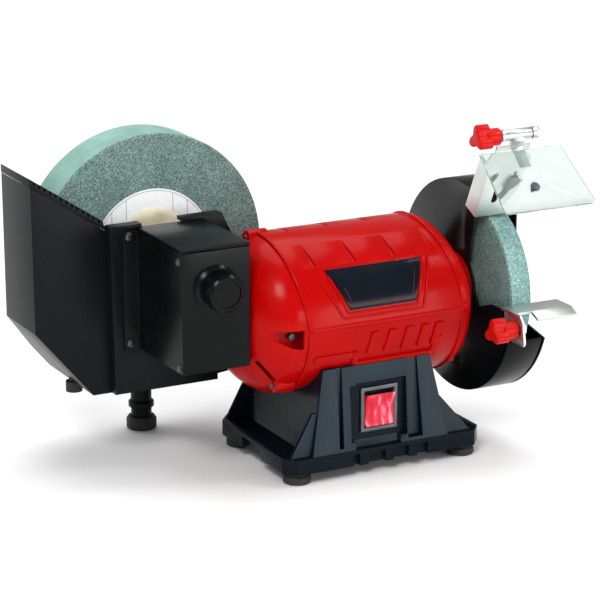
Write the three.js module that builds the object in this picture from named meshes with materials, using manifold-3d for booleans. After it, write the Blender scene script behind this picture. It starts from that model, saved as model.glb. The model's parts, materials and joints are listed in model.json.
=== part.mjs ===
// Wet and dry bench grinder: a dry wheel on the motor shaft and a slow wet wheel driven through a worm.
// Millimetres, +Z up. While it is built, X runs along the motor axis with x = 0 at the dry wheel's left
// face, Y runs to the back and z = 0 is the motor axis. The finished group stands on its feet at z = 0.
import * as THREE from "three";
import { mergeVertices } from "three/addons/utils/BufferGeometryUtils.js";
import Module from "manifold-3d";

const wasm = await Module();
wasm.setup();

// ---- Driving dimensions ----
const AXIS_HEIGHT = 130.6; // motor axis above the bench
const GAP = 0.3; // between pieces that seat on each other
const SIDES = 22; // sides of a round piece

const DRY_RADIUS = 75;
const DRY_WIDTH = 20;
const DRY_BORE = 6.35;
const DRY_FLANGE = 4; // thickness of each clamping flange
const DRY_FLANGE_RADIUS = 26;

const WET_RADIUS = 100;
const WET_WIDTH = 40;
const WET_BORE = 10;
const WET_FRONT = 78; // front face of the wet wheel, behind the motor axis
const WET_FLANGE = 4;
const WET_FLANGE_RADIUS = 37.5;
const LABEL_RADIUS = 54;

const SHAFT_RADIUS = 7; // motor shaft between its bearings
const GEAR_MODULE = 2.3;
const GEAR_TEETH = 22;
const CENTRE_DISTANCE = 40; // wet wheel axis above the motor axis
const WORM_PITCH_RADIUS = CENTRE_DISTANCE - (GEAR_MODULE * GEAR_TEETH) / 2;

const BODY_RADIUS = 66.5;
const BODY_CREASE = 68.2; // radius of the edge along the front and back of the housing
const BODY_WALL = 4;
const BODY_LEFT = -178;
const BODY_RIGHT = -38;
const BELL_LEFT = -223.7;
const BELL_FACE = -29.5;
const BEARING_OUTER = 16;
const BEARING_WIDTH = 10;

const GUARD_RADIUS = 90.5;
const SHEET = 1.5;
const GUARD_CLEAR = 2.6; // between the guard's left disc and the wheel's flange
const GUARD_LEFT = -(2 * GAP + DRY_FLANGE + GUARD_CLEAR + SHEET); // left face of that disc
const GUARD_RIGHT = DRY_WIDTH + 7.6;
const GUARD_LIP_ANGLE = 199; // lower end of the opening, from the back horizontal, in degrees
const GUARD_TOP_ANGLE = 117; // upper end of the opening

const BOX_LEFT = -283.5;
const BOX_RIGHT = -224;
const BOX_FRONT = -43;
const BOX_BOTTOM = -28.5;
const BOX_TOP = 70.8;
const BOX_WALL = 1.8;
const BOSS_RADIUS = 15.5;
const BOSS_LENGTH = 22;
const WET_X = (BOX_LEFT + BOX_RIGHT) / 2; // wet wheel axis, in the middle of the gear box

const CARRIER_FRONT = 42;
const CARRIER_BACK = 52;
const CARRIER_WALL = 3;

const TANK_WALL = 3;
const TANK_SIDE = 17; // from the wet wheel's rim to the outside of the tank
const TANK_FLOOR = 7;
const TANK_BACK = WET_FRONT + WET_WIDTH + 28;
const TANK_RIM = 5; // height of the low rim behind the motor
const REST_SLOPE = 33.8; // of the wet tool rest, in degrees
const REST_THICK = 3.5;
const REST_GAP = 3; // between the rest and the wet wheel
const RIB_HEIGHT = 3.2;

const BASE_LEFT = -202;
const BASE_RIGHT = -18;
const BASE_HALF = 66;
const BASE_TOP = -107.5;
const BASE_BOTTOM = -120.5;
const PEDESTAL_TOP = -37;
const FOOT_RADIUS = 11.5;
const SWITCH_PLACE = [-114, -76.7]; // x, z of the switch
const SWITCH_SEAT = -56.4; // bottom of its recess

const TABLE_GAP = 2.7; // between the dry wheel and its tool rest
const BOLT_RADIUS = 3;
const KNOB_RADIUS = 11.8;

const EDGE_Y = -38; // lower edge of the spark plate
const EDGE_Z = 68;
const ROD_Y = -73.6; // hinge rod of the eye shield
const ROD_Z = 143;
const SHIELD_TOP_Y = -80;
const SHIELD_TOP_Z = 132;
const SHIELD_LENGTH = 58;
const SHIELD_THICK = 2;
const SHIELD_ANGLE = 44.3; // below horizontal, in degrees

// ---- Finishes ----
const finish = (color, roughness, metalness = 0) =>
  new THREE.MeshStandardMaterial({ color, roughness, metalness, flatShading: true });
const redPaint = () => finish(0xcc0a08, 0.35);
const redPlastic = () => finish(0xd8100c, 0.4);
const blackPlastic = () => finish(0x15181a, 0.55);
const blackSheet = () => finish(0x0d0f10, 0.45);
const greyStone = () => finish(0x7d9490, 0.95);
const steel = () => finish(0xc9d0d0, 0.35, 0.9);
const darkSteel = () => finish(0x555a5e, 0.5, 0.8);
const rubber = () => finish(0x101112, 0.9);

// ---- Shapes ----
const degrees = (angle) => (angle * Math.PI) / 180;
const polar = (radius, angle) => [radius * Math.cos(degrees(angle)), radius * Math.sin(degrees(angle))];

// The matrices that lay a geometry made along z with its section in x, y along another axis.
const ALONG_X = new THREE.Matrix4().set(0, 0, 1, 0, 1, 0, 0, 0, 0, 1, 0, 0, 0, 0, 0, 1);
const ALONG_Y = new THREE.Matrix4().set(1, 0, 0, 0, 0, 0, -1, 0, 0, 1, 0, 0, 0, 0, 0, 1);

// A closed solid from a three.js geometry: shared vertices merged, collapsed triangles dropped.
function toSolid(geometry) {
  const bare = geometry.clone();
  bare.deleteAttribute("normal");
  bare.deleteAttribute("uv");
  const merged = mergeVertices(bare, 1e-4);
  const corners = merged.index.array;
  const kept = [];
  for (let i = 0; i < corners.length; i += 3) {
    const [a, b, c] = corners.slice(i, i + 3);
    if (a !== b && b !== c && c !== a) kept.push(a, b, c);
  }
  const vertProperties = merged.attributes.position.array;
  return new wasm.Manifold(new wasm.Mesh({ numProp: 3, vertProperties, triVerts: Uint32Array.from(kept) }));
}

function toGeometry(solid) {
  const mesh = solid.getMesh();
  const geometry = new THREE.BufferGeometry();
  geometry.setAttribute("position", new THREE.BufferAttribute(mesh.vertProperties, 3));
  geometry.setIndex(new THREE.BufferAttribute(mesh.triVerts, 1));
  return geometry;
}

const join = (first, ...others) => others.reduce((whole, other) => whole.add(other), first);
const cut = (base, ...tools) => tools.reduce((rest, tool) => rest.subtract(tool), base);

function box(x0, x1, y0, y1, z0, z1) {
  const geometry = new THREE.BoxGeometry(x1 - x0, y1 - y0, z1 - z0);
  return toSolid(geometry.translate((x0 + x1) / 2, (y0 + y1) / 2, (z0 + z1) / 2));
}

function extrusion(shape, length, curveSegments = SIDES) {
  return new THREE.ExtrudeGeometry(shape, { depth: length, bevelEnabled: false, curveSegments });
}

const outline = (points) => new THREE.Shape(points.map(([u, v]) => new THREE.Vector2(u, v)));

// A prism along X: its outline holds y, z points.
function prismX(points, x0, x1) {
  const shape = Array.isArray(points) ? outline(points) : points;
  return toSolid(extrusion(shape, x1 - x0).applyMatrix4(ALONG_X).translate(x0, 0, 0));
}

// A prism along Y: its outline holds x, z points.
function prismY(points, y0, y1) {
  const shape = Array.isArray(points) ? outline(points) : points;
  return toSolid(extrusion(shape, y1 - y0).applyMatrix4(ALONG_Y).translate(0, y1, 0));
}

// A prism along Z: its outline holds x, y points.
function prismZ(points, z0, z1) {
  return toSolid(extrusion(outline(points), z1 - z0).translate(0, 0, z0));
}

function rodX(radius, x0, x1, y = 0, z = 0, sides = SIDES) {
  const geometry = new THREE.CylinderGeometry(radius, radius, x1 - x0, sides).rotateZ(-Math.PI / 2);
  return toSolid(geometry.translate((x0 + x1) / 2, y, z));
}

function rodY(radius, y0, y1, x, z, sides = SIDES) {
  const geometry = new THREE.CylinderGeometry(radius, radius, y1 - y0, sides);
  return toSolid(geometry.translate(x, (y0 + y1) / 2, z));
}

function rodZ(radius, z0, z1, x, y, sides = SIDES) {
  const geometry = new THREE.CylinderGeometry(radius, radius, z1 - z0, sides).rotateX(Math.PI / 2);
  return toSolid(geometry.translate(x, y, (z0 + z1) / 2));
}

const ringX = (outer, inner, x0, x1, sides) =>
  cut(rodX(outer, x0, x1, 0, 0, sides), rodX(inner, x0 - 1, x1 + 1, 0, 0, sides));
const ringY = (outer, inner, y0, y1) =>
  cut(rodY(outer, y0, y1, WET_X, CENTRE_DISTANCE), rodY(inner, y0 - 1, y1 + 1, WET_X, CENTRE_DISTANCE));

// A solid turned about the motor axis from x, radius points that go round the section once.
function turnedX(profile, sides = SIDES) {
  const points = profile.map(([x, radius]) => new THREE.Vector2(radius, x));
  if (THREE.ShapeUtils.isClockWise(points)) points.reverse();
  points.push(points[0].clone());
  const geometry = new THREE.LatheGeometry(points, sides);
  return toSolid(geometry.rotateZ(-Math.PI / 2));
}

// A three-lobed clamping knob with its stem, about an axis along X through y, z.
function lobedKnob(x0, x1, y, z, bore) {
  const stem = x0 + 0.55 * (x1 - x0);
  const lobe = KNOB_RADIUS * 0.46;
  let knob = rodX(KNOB_RADIUS * 0.62, x0, x1, y, z, 18);
  for (const angle of [90, 210, 330]) {
    const [dy, dz] = polar(KNOB_RADIUS - lobe, angle);
    knob = knob.add(rodX(lobe, x0, stem, y + dy, z + dz, 12));
  }
  return cut(knob, rodX(bore, x0 + 4, x1 + 1, y, z, 18));
}

// A pan-head screw along Y whose head lies on the side of the smaller coordinate.
function screwY(x, y, z, length, radius = 1.6, head = 3.4) {
  return join(rodY(head, y, y + 2.2, x, z, 12), rodY(radius, y + 1, y + length, x, z, 12));
}

// ---- The machine ----
const machine = new THREE.Group();

function addPart(name, solid, material) {
  const mesh = new THREE.Mesh(toGeometry(solid), material);
  mesh.name = name;
  machine.add(mesh);
}

// Section of the housing: a circle with a straight-sided edge along its front and its back.
function housingShape(radius, crease) {
  const start = Math.acos(radius / crease);
  const shape = new THREE.Shape();
  shape.moveTo(crease, 0);
  shape.absarc(0, 0, radius, start, Math.PI - start, false);
  shape.lineTo(-crease, 0);
  shape.absarc(0, 0, radius, Math.PI + start, 2 * Math.PI - start, false);
  shape.closePath();
  return shape;
}

function motorHousing() {
  const inside = BODY_RADIUS - BODY_WALL;
  const shell = prismX(housingShape(BODY_RADIUS, BODY_CREASE), BODY_LEFT, BODY_RIGHT);
  addPart("motor_body", cut(shell, rodX(inside, BODY_LEFT - 1, BODY_RIGHT + 1, 0, 0, 28)), redPaint());

  const seat = BEARING_OUTER + GAP;
  const left = BELL_LEFT + 3.7;
  const rim = BODY_LEFT - GAP;
  const leftBell = [
    [rim, inside], [rim, BODY_RADIUS], [BODY_LEFT - 14, BODY_RADIUS - 0.7], [BODY_LEFT - 28, BODY_RADIUS - 7],
    [BELL_LEFT + 5, BODY_RADIUS - 18], [BELL_LEFT, BODY_RADIUS - 26], [BELL_LEFT, SHAFT_RADIUS + 7.5],
    [BELL_LEFT - 7.3, SHAFT_RADIUS + 7.5], [BELL_LEFT - 7.3, SHAFT_RADIUS + 1], [left, SHAFT_RADIUS + 1],
    [left, seat], [left + BEARING_WIDTH + 1, seat], [left + BEARING_WIDTH + 1, seat + 4.5],
    [left + 0.3, seat + 4.5], [left + 0.3, BODY_RADIUS - 29], [left + 4, BODY_RADIUS - 22],
    [BODY_LEFT - 26, BODY_RADIUS - 12], [BODY_LEFT - 11, inside - 0.7],
  ];
  addPart("left_end_bell", turnedX(leftBell, 28), redPaint());

  const face = BELL_FACE;
  const hub = GUARD_LEFT - GAP;
  const rightBell = [
    [BODY_RIGHT + GAP, inside], [BODY_RIGHT + GAP, BODY_RADIUS], [face - 4.5, BODY_RADIUS - 0.5],
    [face - 1.5, BODY_RADIUS - 3], [face, BODY_RADIUS - 7.5], [face, 31], [hub, 29], [hub, SHAFT_RADIUS + 1],
    [face, SHAFT_RADIUS + 1], [face, seat], [face - BEARING_WIDTH - 1, seat],
    [face - BEARING_WIDTH - 1, seat + 4], [face - 4, seat + 7], [face - 4, inside - 4.5],
    [face - 6.5, inside],
  ];
  addPart("right_end_bell", turnedX(rightBell, 28), redPaint());

  const bore = SHAFT_RADIUS + GAP;
  addPart("bearing_left", ringX(BEARING_OUTER, bore, left + GAP, left + BEARING_WIDTH, 20), steel());
  addPart("bearing_right", ringX(BEARING_OUTER, bore, face - BEARING_WIDTH, face - GAP, 20), steel());
}

// The plate on the upper front of the housing, curved like the wall behind it.
function namePlate() {
  const skin = cut(
    prismX(housingShape(BODY_RADIUS + 1.2, BODY_CREASE + 1.2), -170, -64),
    prismX(housingShape(BODY_RADIUS + GAP, BODY_CREASE + GAP), -171, -63),
  );
  const window = prismY([[-161.5, 43.5], [-145.4, 13], [-85.3, 13], [-72.8, 43.5]], -BODY_RADIUS - 9, -30);
  addPart("name_plate", skin.intersect(window), finish(0x0b0f14, 0.3));
}

function motorInside() {
  const statorOuter = BODY_RADIUS - BODY_WALL - GAP;
  const rotor = 33;
  addPart("stator_core", ringX(statorOuter, rotor + 0.6, -150, -80, 28), darkSteel());
  addPart("winding_left", ringX(56, 37, -168, -150 - GAP, 22), finish(0xb5652a, 0.5, 0.6));
  addPart("winding_right", ringX(56, 37, -80 + GAP, -66, 22), finish(0xb5652a, 0.5, 0.6));
  addPart("rotor_core", ringX(rotor, SHAFT_RADIUS + GAP, -151, -79, 22), darkSteel());

  let fan = join(ringX(12, SHAFT_RADIUS + GAP, -62, -48, 24), ringX(46, 11, -62, -60, 22));
  for (let blade = 0; blade < 8; blade++) {
    const vane = new THREE.BoxGeometry(12, 33, 1.6).translate(-55, 28, 0).rotateX((blade * Math.PI) / 4);
    fan = fan.add(toSolid(vane));
  }
  addPart("cooling_fan", fan, blackPlastic());
}

// The worm's thread: one helical ridge on a core, trimmed square at both ends.
function wormSolid(length) {
  const lead = Math.PI * GEAR_MODULE;
  const root = WORM_PITCH_RADIUS - 1.13 * GEAR_MODULE;
  const crest = WORM_PITCH_RADIUS + 0.87 * GEAR_MODULE;
  const ridge = [[0, root], [0.34, root], [0.43, crest], [0.57, crest], [0.66, root]];
  const turns = Math.ceil(length / lead) + 3;
  const steps = 16;
  const rows = turns * ridge.length;
  const at = (row, step) => {
    const wraps = step === steps ? ridge.length : 0;
    return ((row + wraps) * steps) + (step % steps);
  };
  const position = [];
  for (let row = 0; row <= rows + ridge.length; row++) {
    const [share, radius] = ridge[row % ridge.length];
    const along = (Math.floor(row / ridge.length) + share - turns / 2 - 0.25) * lead;
    for (let step = 0; step < steps; step++) {
      const angle = (2 * Math.PI * step) / steps;
      position.push(along + (lead * step) / steps, radius * Math.cos(angle), radius * Math.sin(angle));
    }
  }
  const index = [];
  for (let row = 0; row < rows; row++) {
    for (let step = 0; step < steps; step++) {
      const a = at(row, step), b = at(row + 1, step), c = at(row + 1, step + 1), d = at(row, step + 1);
      index.push(a, c, b, a, d, c);
    }
  }
  for (const [row, flip] of [[0, false], [rows, true]]) {
    const hub = position.length / 3;
    const middle = position[at(row, 0) * 3] + lead / 2;
    position.push(middle, 0, 0);
    const rim = [];
    for (let step = 0; step <= steps; step++) rim.push(at(row, step));
    for (let back = ridge.length - 1; back > 0; back--) rim.push(at(row + back, 0));
    rim.forEach((corner, i) => {
      const next = rim[(i + 1) % rim.length];
      index.push(...(flip ? [hub, corner, next] : [hub, next, corner]));
    });
  }
  const geometry = new THREE.BufferGeometry();
  geometry.setAttribute("position", new THREE.Float32BufferAttribute(position, 3));
  geometry.setIndex(index);
  const thread = toSolid(geometry);
  return thread.intersect(rodX(crest + 2, -length / 2, length / 2, 0, 0, 24));
}

function wormDrive() {
  const seat = 6;
  const length = 30;
  const worm = toGeometry(wormSolid(length)).translate(WET_X, 0, 0);
  addPart("worm", cut(toSolid(worm), rodX(seat + GAP, WET_X - length, WET_X + length, 0, 0, 24)), steel());
  const end = WET_X - length / 2;
  const hexagon = rodX(10, end - 5, end - GAP, 0, 0, 6);
  addPart("worm_nut", cut(hexagon, rodX(seat + GAP, end - 6, end + 1, 0, 0, 24)), steel());

  const thread = DRY_WIDTH + 2 * GAP + DRY_FLANGE + 9;
  const shaft = join(
    rodX(seat, end - 7, BELL_LEFT - 7, 0, 0, 24),
    rodX(SHAFT_RADIUS, BELL_LEFT - 8, GUARD_LEFT - 0.5, 0, 0, 24),
    rodX(DRY_BORE - GAP, GUARD_LEFT - 1.5, thread, 0, 0, 24),
  );
  addPart("motor_shaft", shaft, steel());

  const pitch = (GEAR_MODULE * GEAR_TEETH) / 2;
  const root = pitch - 1.13 * GEAR_MODULE;
  const tip = pitch + 0.87 * GEAR_MODULE;
  const wheel = new THREE.Shape();
  for (let tooth = 0; tooth < GEAR_TEETH; tooth++) {
    const middle = -90 + (360 / GEAR_TEETH) * tooth;
    [[root, -5], [tip, -1.9], [tip, 1.9], [root, 5]].forEach(([radius, turn], corner) => {
      const [u, v] = polar(radius, middle + turn);
      if (tooth === 0 && corner === 0) wheel.moveTo(WET_X + u, CENTRE_DISTANCE + v);
      else wheel.lineTo(WET_X + u, CENTRE_DISTANCE + v);
    });
  }
  wheel.closePath();
  const gear = prismY(wheel, -5, 5);
  addPart("worm_wheel", cut(gear, rodY(8 + GAP, -6, 6, WET_X, CENTRE_DISTANCE)), finish(0xb08d4a, 0.4, 0.8));
}

function wetSpindle() {
  const journal = 8;
  const front = WET_FRONT;
  const back = WET_FRONT + WET_WIDTH;
  const flange = front - GAP - WET_FLANGE;
  const shaft = join(
    rodY(journal, BOX_FRONT - 17, 40, WET_X, CENTRE_DISTANCE, 24),
    rodY(WET_BORE - GAP, 40, back + WET_FLANGE + 16, WET_X, CENTRE_DISTANCE, 24),
    rodY(15, flange - 5, flange - GAP, WET_X, CENTRE_DISTANCE, 24),
  );
  addPart("wet_shaft", shaft, steel());
  const bush = ringY(BOSS_RADIUS - 3 - GAP, journal + GAP, BOX_FRONT - 18, BOX_FRONT + 1);
  addPart("wet_bush_front", bush, finish(0xb08d4a, 0.5, 0.7));
  const flanged = join(
    ringY(14, WET_BORE, CARRIER_FRONT - 3, CARRIER_BACK + 10),
    ringY(21, WET_BORE, CARRIER_FRONT + CARRIER_WALL + GAP, CARRIER_FRONT + CARRIER_WALL + 4),
  );
  addPart("wet_bush_rear", flanged, finish(0xb08d4a, 0.5, 0.7));
  const cup = ringY(WET_FLANGE_RADIUS, WET_BORE, flange, front - 2 * GAP - 0.5);
  addPart("wet_flange_front", cup, finish(0xe8dfb4, 0.6));
  addPart("wet_label", ringY(LABEL_RADIUS, WET_BORE, front - GAP - 0.5, front - GAP), finish(0xf0f2f2, 0.8));
  const stone = rodY(WET_RADIUS, front, back, WET_X, CENTRE_DISTANCE, 64);
  const bore = rodY(WET_BORE, front - 1, back + WET_FLANGE + 12, WET_X, CENTRE_DISTANCE);
  addPart("wet_wheel", cut(stone, bore), greyStone());
  const rear = ringY(WET_FLANGE_RADIUS, WET_BORE, back + GAP, back + GAP + WET_FLANGE);
  addPart("wet_flange_rear", rear, finish(0xe8dfb4, 0.6));
  const nut = back + 2 * GAP + WET_FLANGE;
  addPart("wet_nut", cut(rodY(15, nut, nut + 8, WET_X, CENTRE_DISTANCE, 6), bore), steel());
}

// Folded box over the worm drive: open on top for its lid and at the back against the carrier plate.
function gearBox() {
  const back = CARRIER_FRONT - GAP;
  const outer = box(BOX_LEFT, BOX_RIGHT, BOX_FRONT, back, BOX_BOTTOM, BOX_TOP);
  const inLeft = BOX_LEFT + BOX_WALL;
  const inRight = BOX_RIGHT - BOX_WALL;
  const inFront = BOX_FRONT + BOX_WALL;
  const inner = box(inLeft, inRight, inFront, back + 1, BOX_BOTTOM + BOX_WALL, BOX_TOP + 1);
  const flange = box(BOX_LEFT - 13, BOX_LEFT + 1, back - BOX_WALL, back, BOX_BOTTOM, BOX_TOP);
  const boss = rodY(BOSS_RADIUS, BOX_FRONT - BOSS_LENGTH, BOX_FRONT + BOX_WALL, WET_X, CENTRE_DISTANCE);
  const bore = rodY(BOSS_RADIUS - 3, BOX_FRONT - BOSS_LENGTH + 3, BOX_FRONT + 4, WET_X, CENTRE_DISTANCE);
  const neck = rodX(SHAFT_RADIUS + 7.5 + GAP, BOX_RIGHT - 5, BOX_RIGHT + 5);
  const screws = [BOX_TOP - 4, BOX_BOTTOM + 6].map((z) => [BOX_LEFT - 8, z]);
  const holes = screws.map(([x, z]) => rodY(2, back - 5, back + 5, x, z, 12));
  const cover = cut(join(cut(outer, inner), boss), bore, neck);
  addPart("gearbox_cover", cut(join(cover, cut(flange, inner)), ...holes), blackSheet());
  screws.forEach(([x, z], i) =>
    addPart("gearbox_screw_" + (i + 1), screwY(x, back - BOX_WALL - GAP - 2.2, z, 7), steel()));

  const lid = box(BOX_LEFT - 0.8, BOX_RIGHT + 0.6, BOX_FRONT - 1, back, BOX_TOP + GAP, BOX_TOP + 3.2);
  const lip = box(inLeft + 0.5, inRight - 0.5, inFront + 0.5, back - 1.7, BOX_TOP - 2.5, BOX_TOP + 1);
  const hollow = box(inLeft + 2.2, inRight - 2.2, inFront + 2.2, back - 3.7, BOX_TOP - 3, BOX_TOP + GAP);
  addPart("gearbox_lid", join(lid, cut(lip, hollow)), blackSheet());
  return screws;
}

// The plate that carries the wet side: it hugs the left bell and holds the rear bush and the tank.
function carrierPlate(screws) {
  const floor = CENTRE_DISTANCE - WET_RADIUS - TANK_FLOOR;
  const edge = [
    [-307, 75.6], [-304.6, floor + 1], [-212, floor + 1], [-212, floor + 6], [-195, floor + 8],
    [-195, 52], [-207, 76.5],
  ];
  const inside = [
    [-303.5, 72.6], [-301.6, floor + 4], [-215, floor + 4], [-215, floor + 9], [-198, floor + 11],
    [-198, 51], [-209, 73.3],
  ];
  const plate = cut(
    prismY(edge, CARRIER_FRONT, CARRIER_BACK),
    prismY(inside, CARRIER_FRONT + CARRIER_WALL, CARRIER_BACK + 1),
    rodX(BODY_RADIUS + 0.5, BELL_LEFT - 1.2, -190, 0, 0, 48),
    rodY(14 + GAP, CARRIER_FRONT - 1, CARRIER_BACK, WET_X, CENTRE_DISTANCE),
    box(BOX_LEFT + 4.5, BOX_RIGHT - 19, CARRIER_FRONT - 1, CARRIER_BACK + 1, BOX_TOP + 0.5, 100),
    ...screws.map(([x, z]) => rodY(2, CARRIER_FRONT - 1, CARRIER_BACK, x, z, 12)),
  );
  addPart("carrier_plate", plate, blackPlastic());
}

// Outline of the tank in x, z, shrunk by an inset.
function tankOutline(inset, top) {
  const left = WET_X - WET_RADIUS - TANK_SIDE + inset;
  const right = WET_X + WET_RADIUS + TANK_SIDE - inset;
  const floor = CENTRE_DISTANCE - WET_RADIUS - TANK_FLOOR + inset;
  const slant = 0.42 * inset;
  return [
    [left, top], [left + 1.4, floor + 58.7 - slant], [left + 50.8 - slant, floor],
    [right - 63 + slant, floor], [right, floor + 62 - slant], [right, top],
  ];
}

function waterTank() {
  const tall = 200;
  const front = CARRIER_BACK + GAP;
  const behindMotor = BODY_CREASE + 1.8;
  const step = BELL_LEFT - 1.5;
  const left = WET_X - WET_RADIUS - TANK_SIDE;
  const floor = CENTRE_DISTANCE - WET_RADIUS - TANK_FLOOR;
  const slope = Math.tan(degrees(REST_SLOPE));
  const corner = [left, restHeight(left) - REST_THICK - GAP];
  const foot = [-302, restHeight(-302) - REST_THICK - GAP];
  const above = [
    [left - 9, corner[1] + 9 * slope], foot, [-302, TANK_RIM],
    [0, TANK_RIM], [0, tall], [left - 9, tall],
  ];
  const outer = cut(
    prismY(tankOutline(0, tall - 1), front, TANK_BACK),
    box(step, 0, front - 1, behindMotor, floor - 1, tall),
  );
  const room = cut(
    prismY(tankOutline(TANK_WALL, tall), front + TANK_WALL, TANK_BACK - TANK_WALL),
    box(step - TANK_WALL, 0, front - 1, behindMotor + TANK_WALL, floor - 1, tall + 1),
  );
  const bevel = backCorner(left, 0, floor - 1, tall);
  const bevelRoom = backCorner(left, 4.5, floor - 1, tall + 1);
  const drain = rodZ(4 + GAP, floor - 2, floor + 6, drainPlace()[0], drainPlace()[1], 20);
  const tank = cut(outer, cut(room, bevelRoom), bevel, prismY(above, 0, TANK_BACK + 20), drain);
  addPart("water_tank", tank, blackPlastic());

  const [x, y] = drainPlace();
  const plug = join(rodZ(7, floor - 9, floor - GAP, x, y, 20), rodZ(4, floor - 1, floor + 4, x, y, 20));
  addPart("drain_plug", plug, rubber());
  const post = [-242, TANK_BACK - 14];
  const ground = -AXIS_HEIGHT;
  addPart("support_post", rodZ(9, ground + 3, floor - GAP, post[0], post[1], 20), blackPlastic());
  const collar = cut(
    rodZ(13, ground, ground + 11, post[0], post[1], 20),
    rodZ(9 + GAP, ground + 3 - GAP, ground + 12, post[0], post[1], 20),
  );
  addPart("post_foot", collar, rubber());
}

const drainPlace = () => [WET_X - WET_RADIUS - TANK_SIDE + 52.75, WET_FRONT + WET_WIDTH / 2];

// Height of the wet tool rest's upper face: its line points at the wet wheel's axis.
const restHeight = (x) => CENTRE_DISTANCE - 1 + (WET_X - x) * Math.tan(degrees(REST_SLOPE));

// The corner that the tank and its rest lack at the back left.
const backCorner = (left, wall, z0, z1) => prismZ(
  [[left - 1, TANK_BACK - 33 - wall], [left - 1, TANK_BACK + 1], [left + 36 + 1.1 * wall, TANK_BACK + 1]],
  z0, z1,
);

// The ribbed rest on the tank's rim, cut out round the wet wheel.
function wetToolRest() {
  const left = WET_X - WET_RADIUS - TANK_SIDE;
  const right = -306;
  const ribs = 14;
  const pitch = (right - left) / ribs;
  const points = [[right, restHeight(right) - REST_THICK], [left, restHeight(left) - REST_THICK]];
  for (let rib = 0; rib < ribs; rib++) {
    const x = left + rib * pitch;
    for (const [share, height] of [[0, RIB_HEIGHT], [0.5, RIB_HEIGHT], [0.62, 0], [0.92, 0]]) {
      const across = x + share * pitch;
      points.push([across, restHeight(across) + height]);
    }
  }
  const side = 3;
  const notch = join(
    rodY(WET_RADIUS + REST_GAP, WET_FRONT - side, WET_FRONT + WET_WIDTH + side, WET_X, CENTRE_DISTANCE, 48),
    box(-330, right + 1, WET_FRONT - side, WET_FRONT + WET_WIDTH + side, 0, 200),
  );
  const bevel = backCorner(left, 0, -100, 200);
  const rest = cut(prismY(points.reverse(), CARRIER_BACK + GAP, TANK_BACK), notch, bevel);
  addPart("wet_tool_rest", rest, blackPlastic());
}

// Moulded base: a flange with a pedestal whose top cradles the housing.
function base() {
  const chamfer = (inset, x, y) => [
    [BASE_LEFT + inset + x, -BASE_HALF + inset], [BASE_RIGHT - inset - x, -BASE_HALF + inset],
    [BASE_RIGHT - inset, -BASE_HALF + inset + y], [BASE_RIGHT - inset, BASE_HALF - inset - y],
    [BASE_RIGHT - inset - x, BASE_HALF - inset], [BASE_LEFT + inset + x, BASE_HALF - inset],
    [BASE_LEFT + inset, BASE_HALF - inset - y], [BASE_LEFT + inset, -BASE_HALF + inset + y],
  ];
  const pedestal = (inset, top) => prismX(
    [[-65 + inset, BASE_TOP - 1], [65 - inset, BASE_TOP - 1], [59 - inset, top], [-59 + inset, top]], -200, 0,
  ).intersect(prismY(
    [[-179 + inset, BASE_TOP - 1], [-52 - inset, BASE_TOP - 1], [-67.5 - inset, top], [-167 + inset, top]],
    -70, 70,
  ));
  const gussets = [];
  for (const y of [-60, 57]) {
    gussets.push(prismY([[-197, BASE_TOP - 1], [-172, BASE_TOP - 1], [-172, -72], [-177, -72]], y, y + 3));
    gussets.push(prismY([[-60, BASE_TOP - 1], [-28, BASE_TOP - 1], [-58, -74], [-60, -74]], y, y + 3));
  }
  const cuts = [prismX(housingShape(BODY_RADIUS + GAP, BODY_CREASE + GAP), -210, 0)];
  for (const [front, back] of [[-67, -57.5], [57.5, 67]]) {
    cuts.push(box(-154, -150, front, back, BASE_TOP + 3, 0));
    const right = [[-90, 0], [-80, 0], [-80, PEDESTAL_TOP], [-76, BASE_TOP + 3], [-90, BASE_TOP + 3]];
    cuts.push(prismY(right, front, back));
  }
  for (const [x0, x1] of [[-142, -136], [-128, -112], [-104, -90], [-82, -72]]) {
    cuts.push(box(x0, x1, -BASE_HALF - 1, -BASE_HALF + 4, BASE_BOTTOM - 1, BASE_TOP - 3));
  }
  cuts.push(box(BASE_LEFT - 1, BASE_LEFT + 4, -18, 18, BASE_BOTTOM - 1, BASE_TOP - 3));
  const [across, up] = SWITCH_PLACE;
  cuts.push(box(across - 23, across + 23.5, -70, SWITCH_SEAT, up - 24.3, up + 24.7));
  cuts.push(box(across - 15 - GAP, across + 15 + GAP, -60, -39, up - 17 - GAP, up + 17 + GAP));
  cuts.push(rodY(6 + GAP, 50, 70, -114, -84, 20));
  cuts.push(prismZ(chamfer(5, 6, 8), BASE_BOTTOM - 1, BASE_TOP - 4));
  cuts.push(pedestal(6, PEDESTAL_TOP).intersect(box(-174, -58, -52, 52, BASE_BOTTOM, -72)));
  cuts.push(box(-170, -62, -50, 50, BASE_BOTTOM, BASE_TOP));
  const body = join(prismZ(chamfer(0, 9, 11), BASE_BOTTOM, BASE_TOP), pedestal(0, PEDESTAL_TOP), ...gussets);
  const posts = [];
  for (const [x, y] of feet()) posts.push(rodZ(5, BASE_BOTTOM + 2, BASE_TOP - 1, x, y, 16));
  addPart("base_housing", join(cut(body, ...cuts), ...posts), blackPlastic());

  const cover = prismZ(chamfer(5 + GAP, 6, 8), BASE_BOTTOM, BASE_BOTTOM + 1.7);
  addPart("base_bottom_cover", cover, blackSheet());
  feet().forEach(([x, y], i) => {
    const foot = join(
      rodZ(FOOT_RADIUS, -AXIS_HEIGHT, BASE_BOTTOM - 3 - GAP, x, y, 24),
      rodZ(FOOT_RADIUS - 2, BASE_BOTTOM - 4, BASE_BOTTOM - GAP, x, y, 24),
    );
    addPart("foot_" + ["front_left", "front_right", "back_left", "back_right"][i], foot, rubber());
  });
}

const feet = () => [[-187, -52], [-32.5, -52], [-187, 52], [-32.5, 52]];

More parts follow.
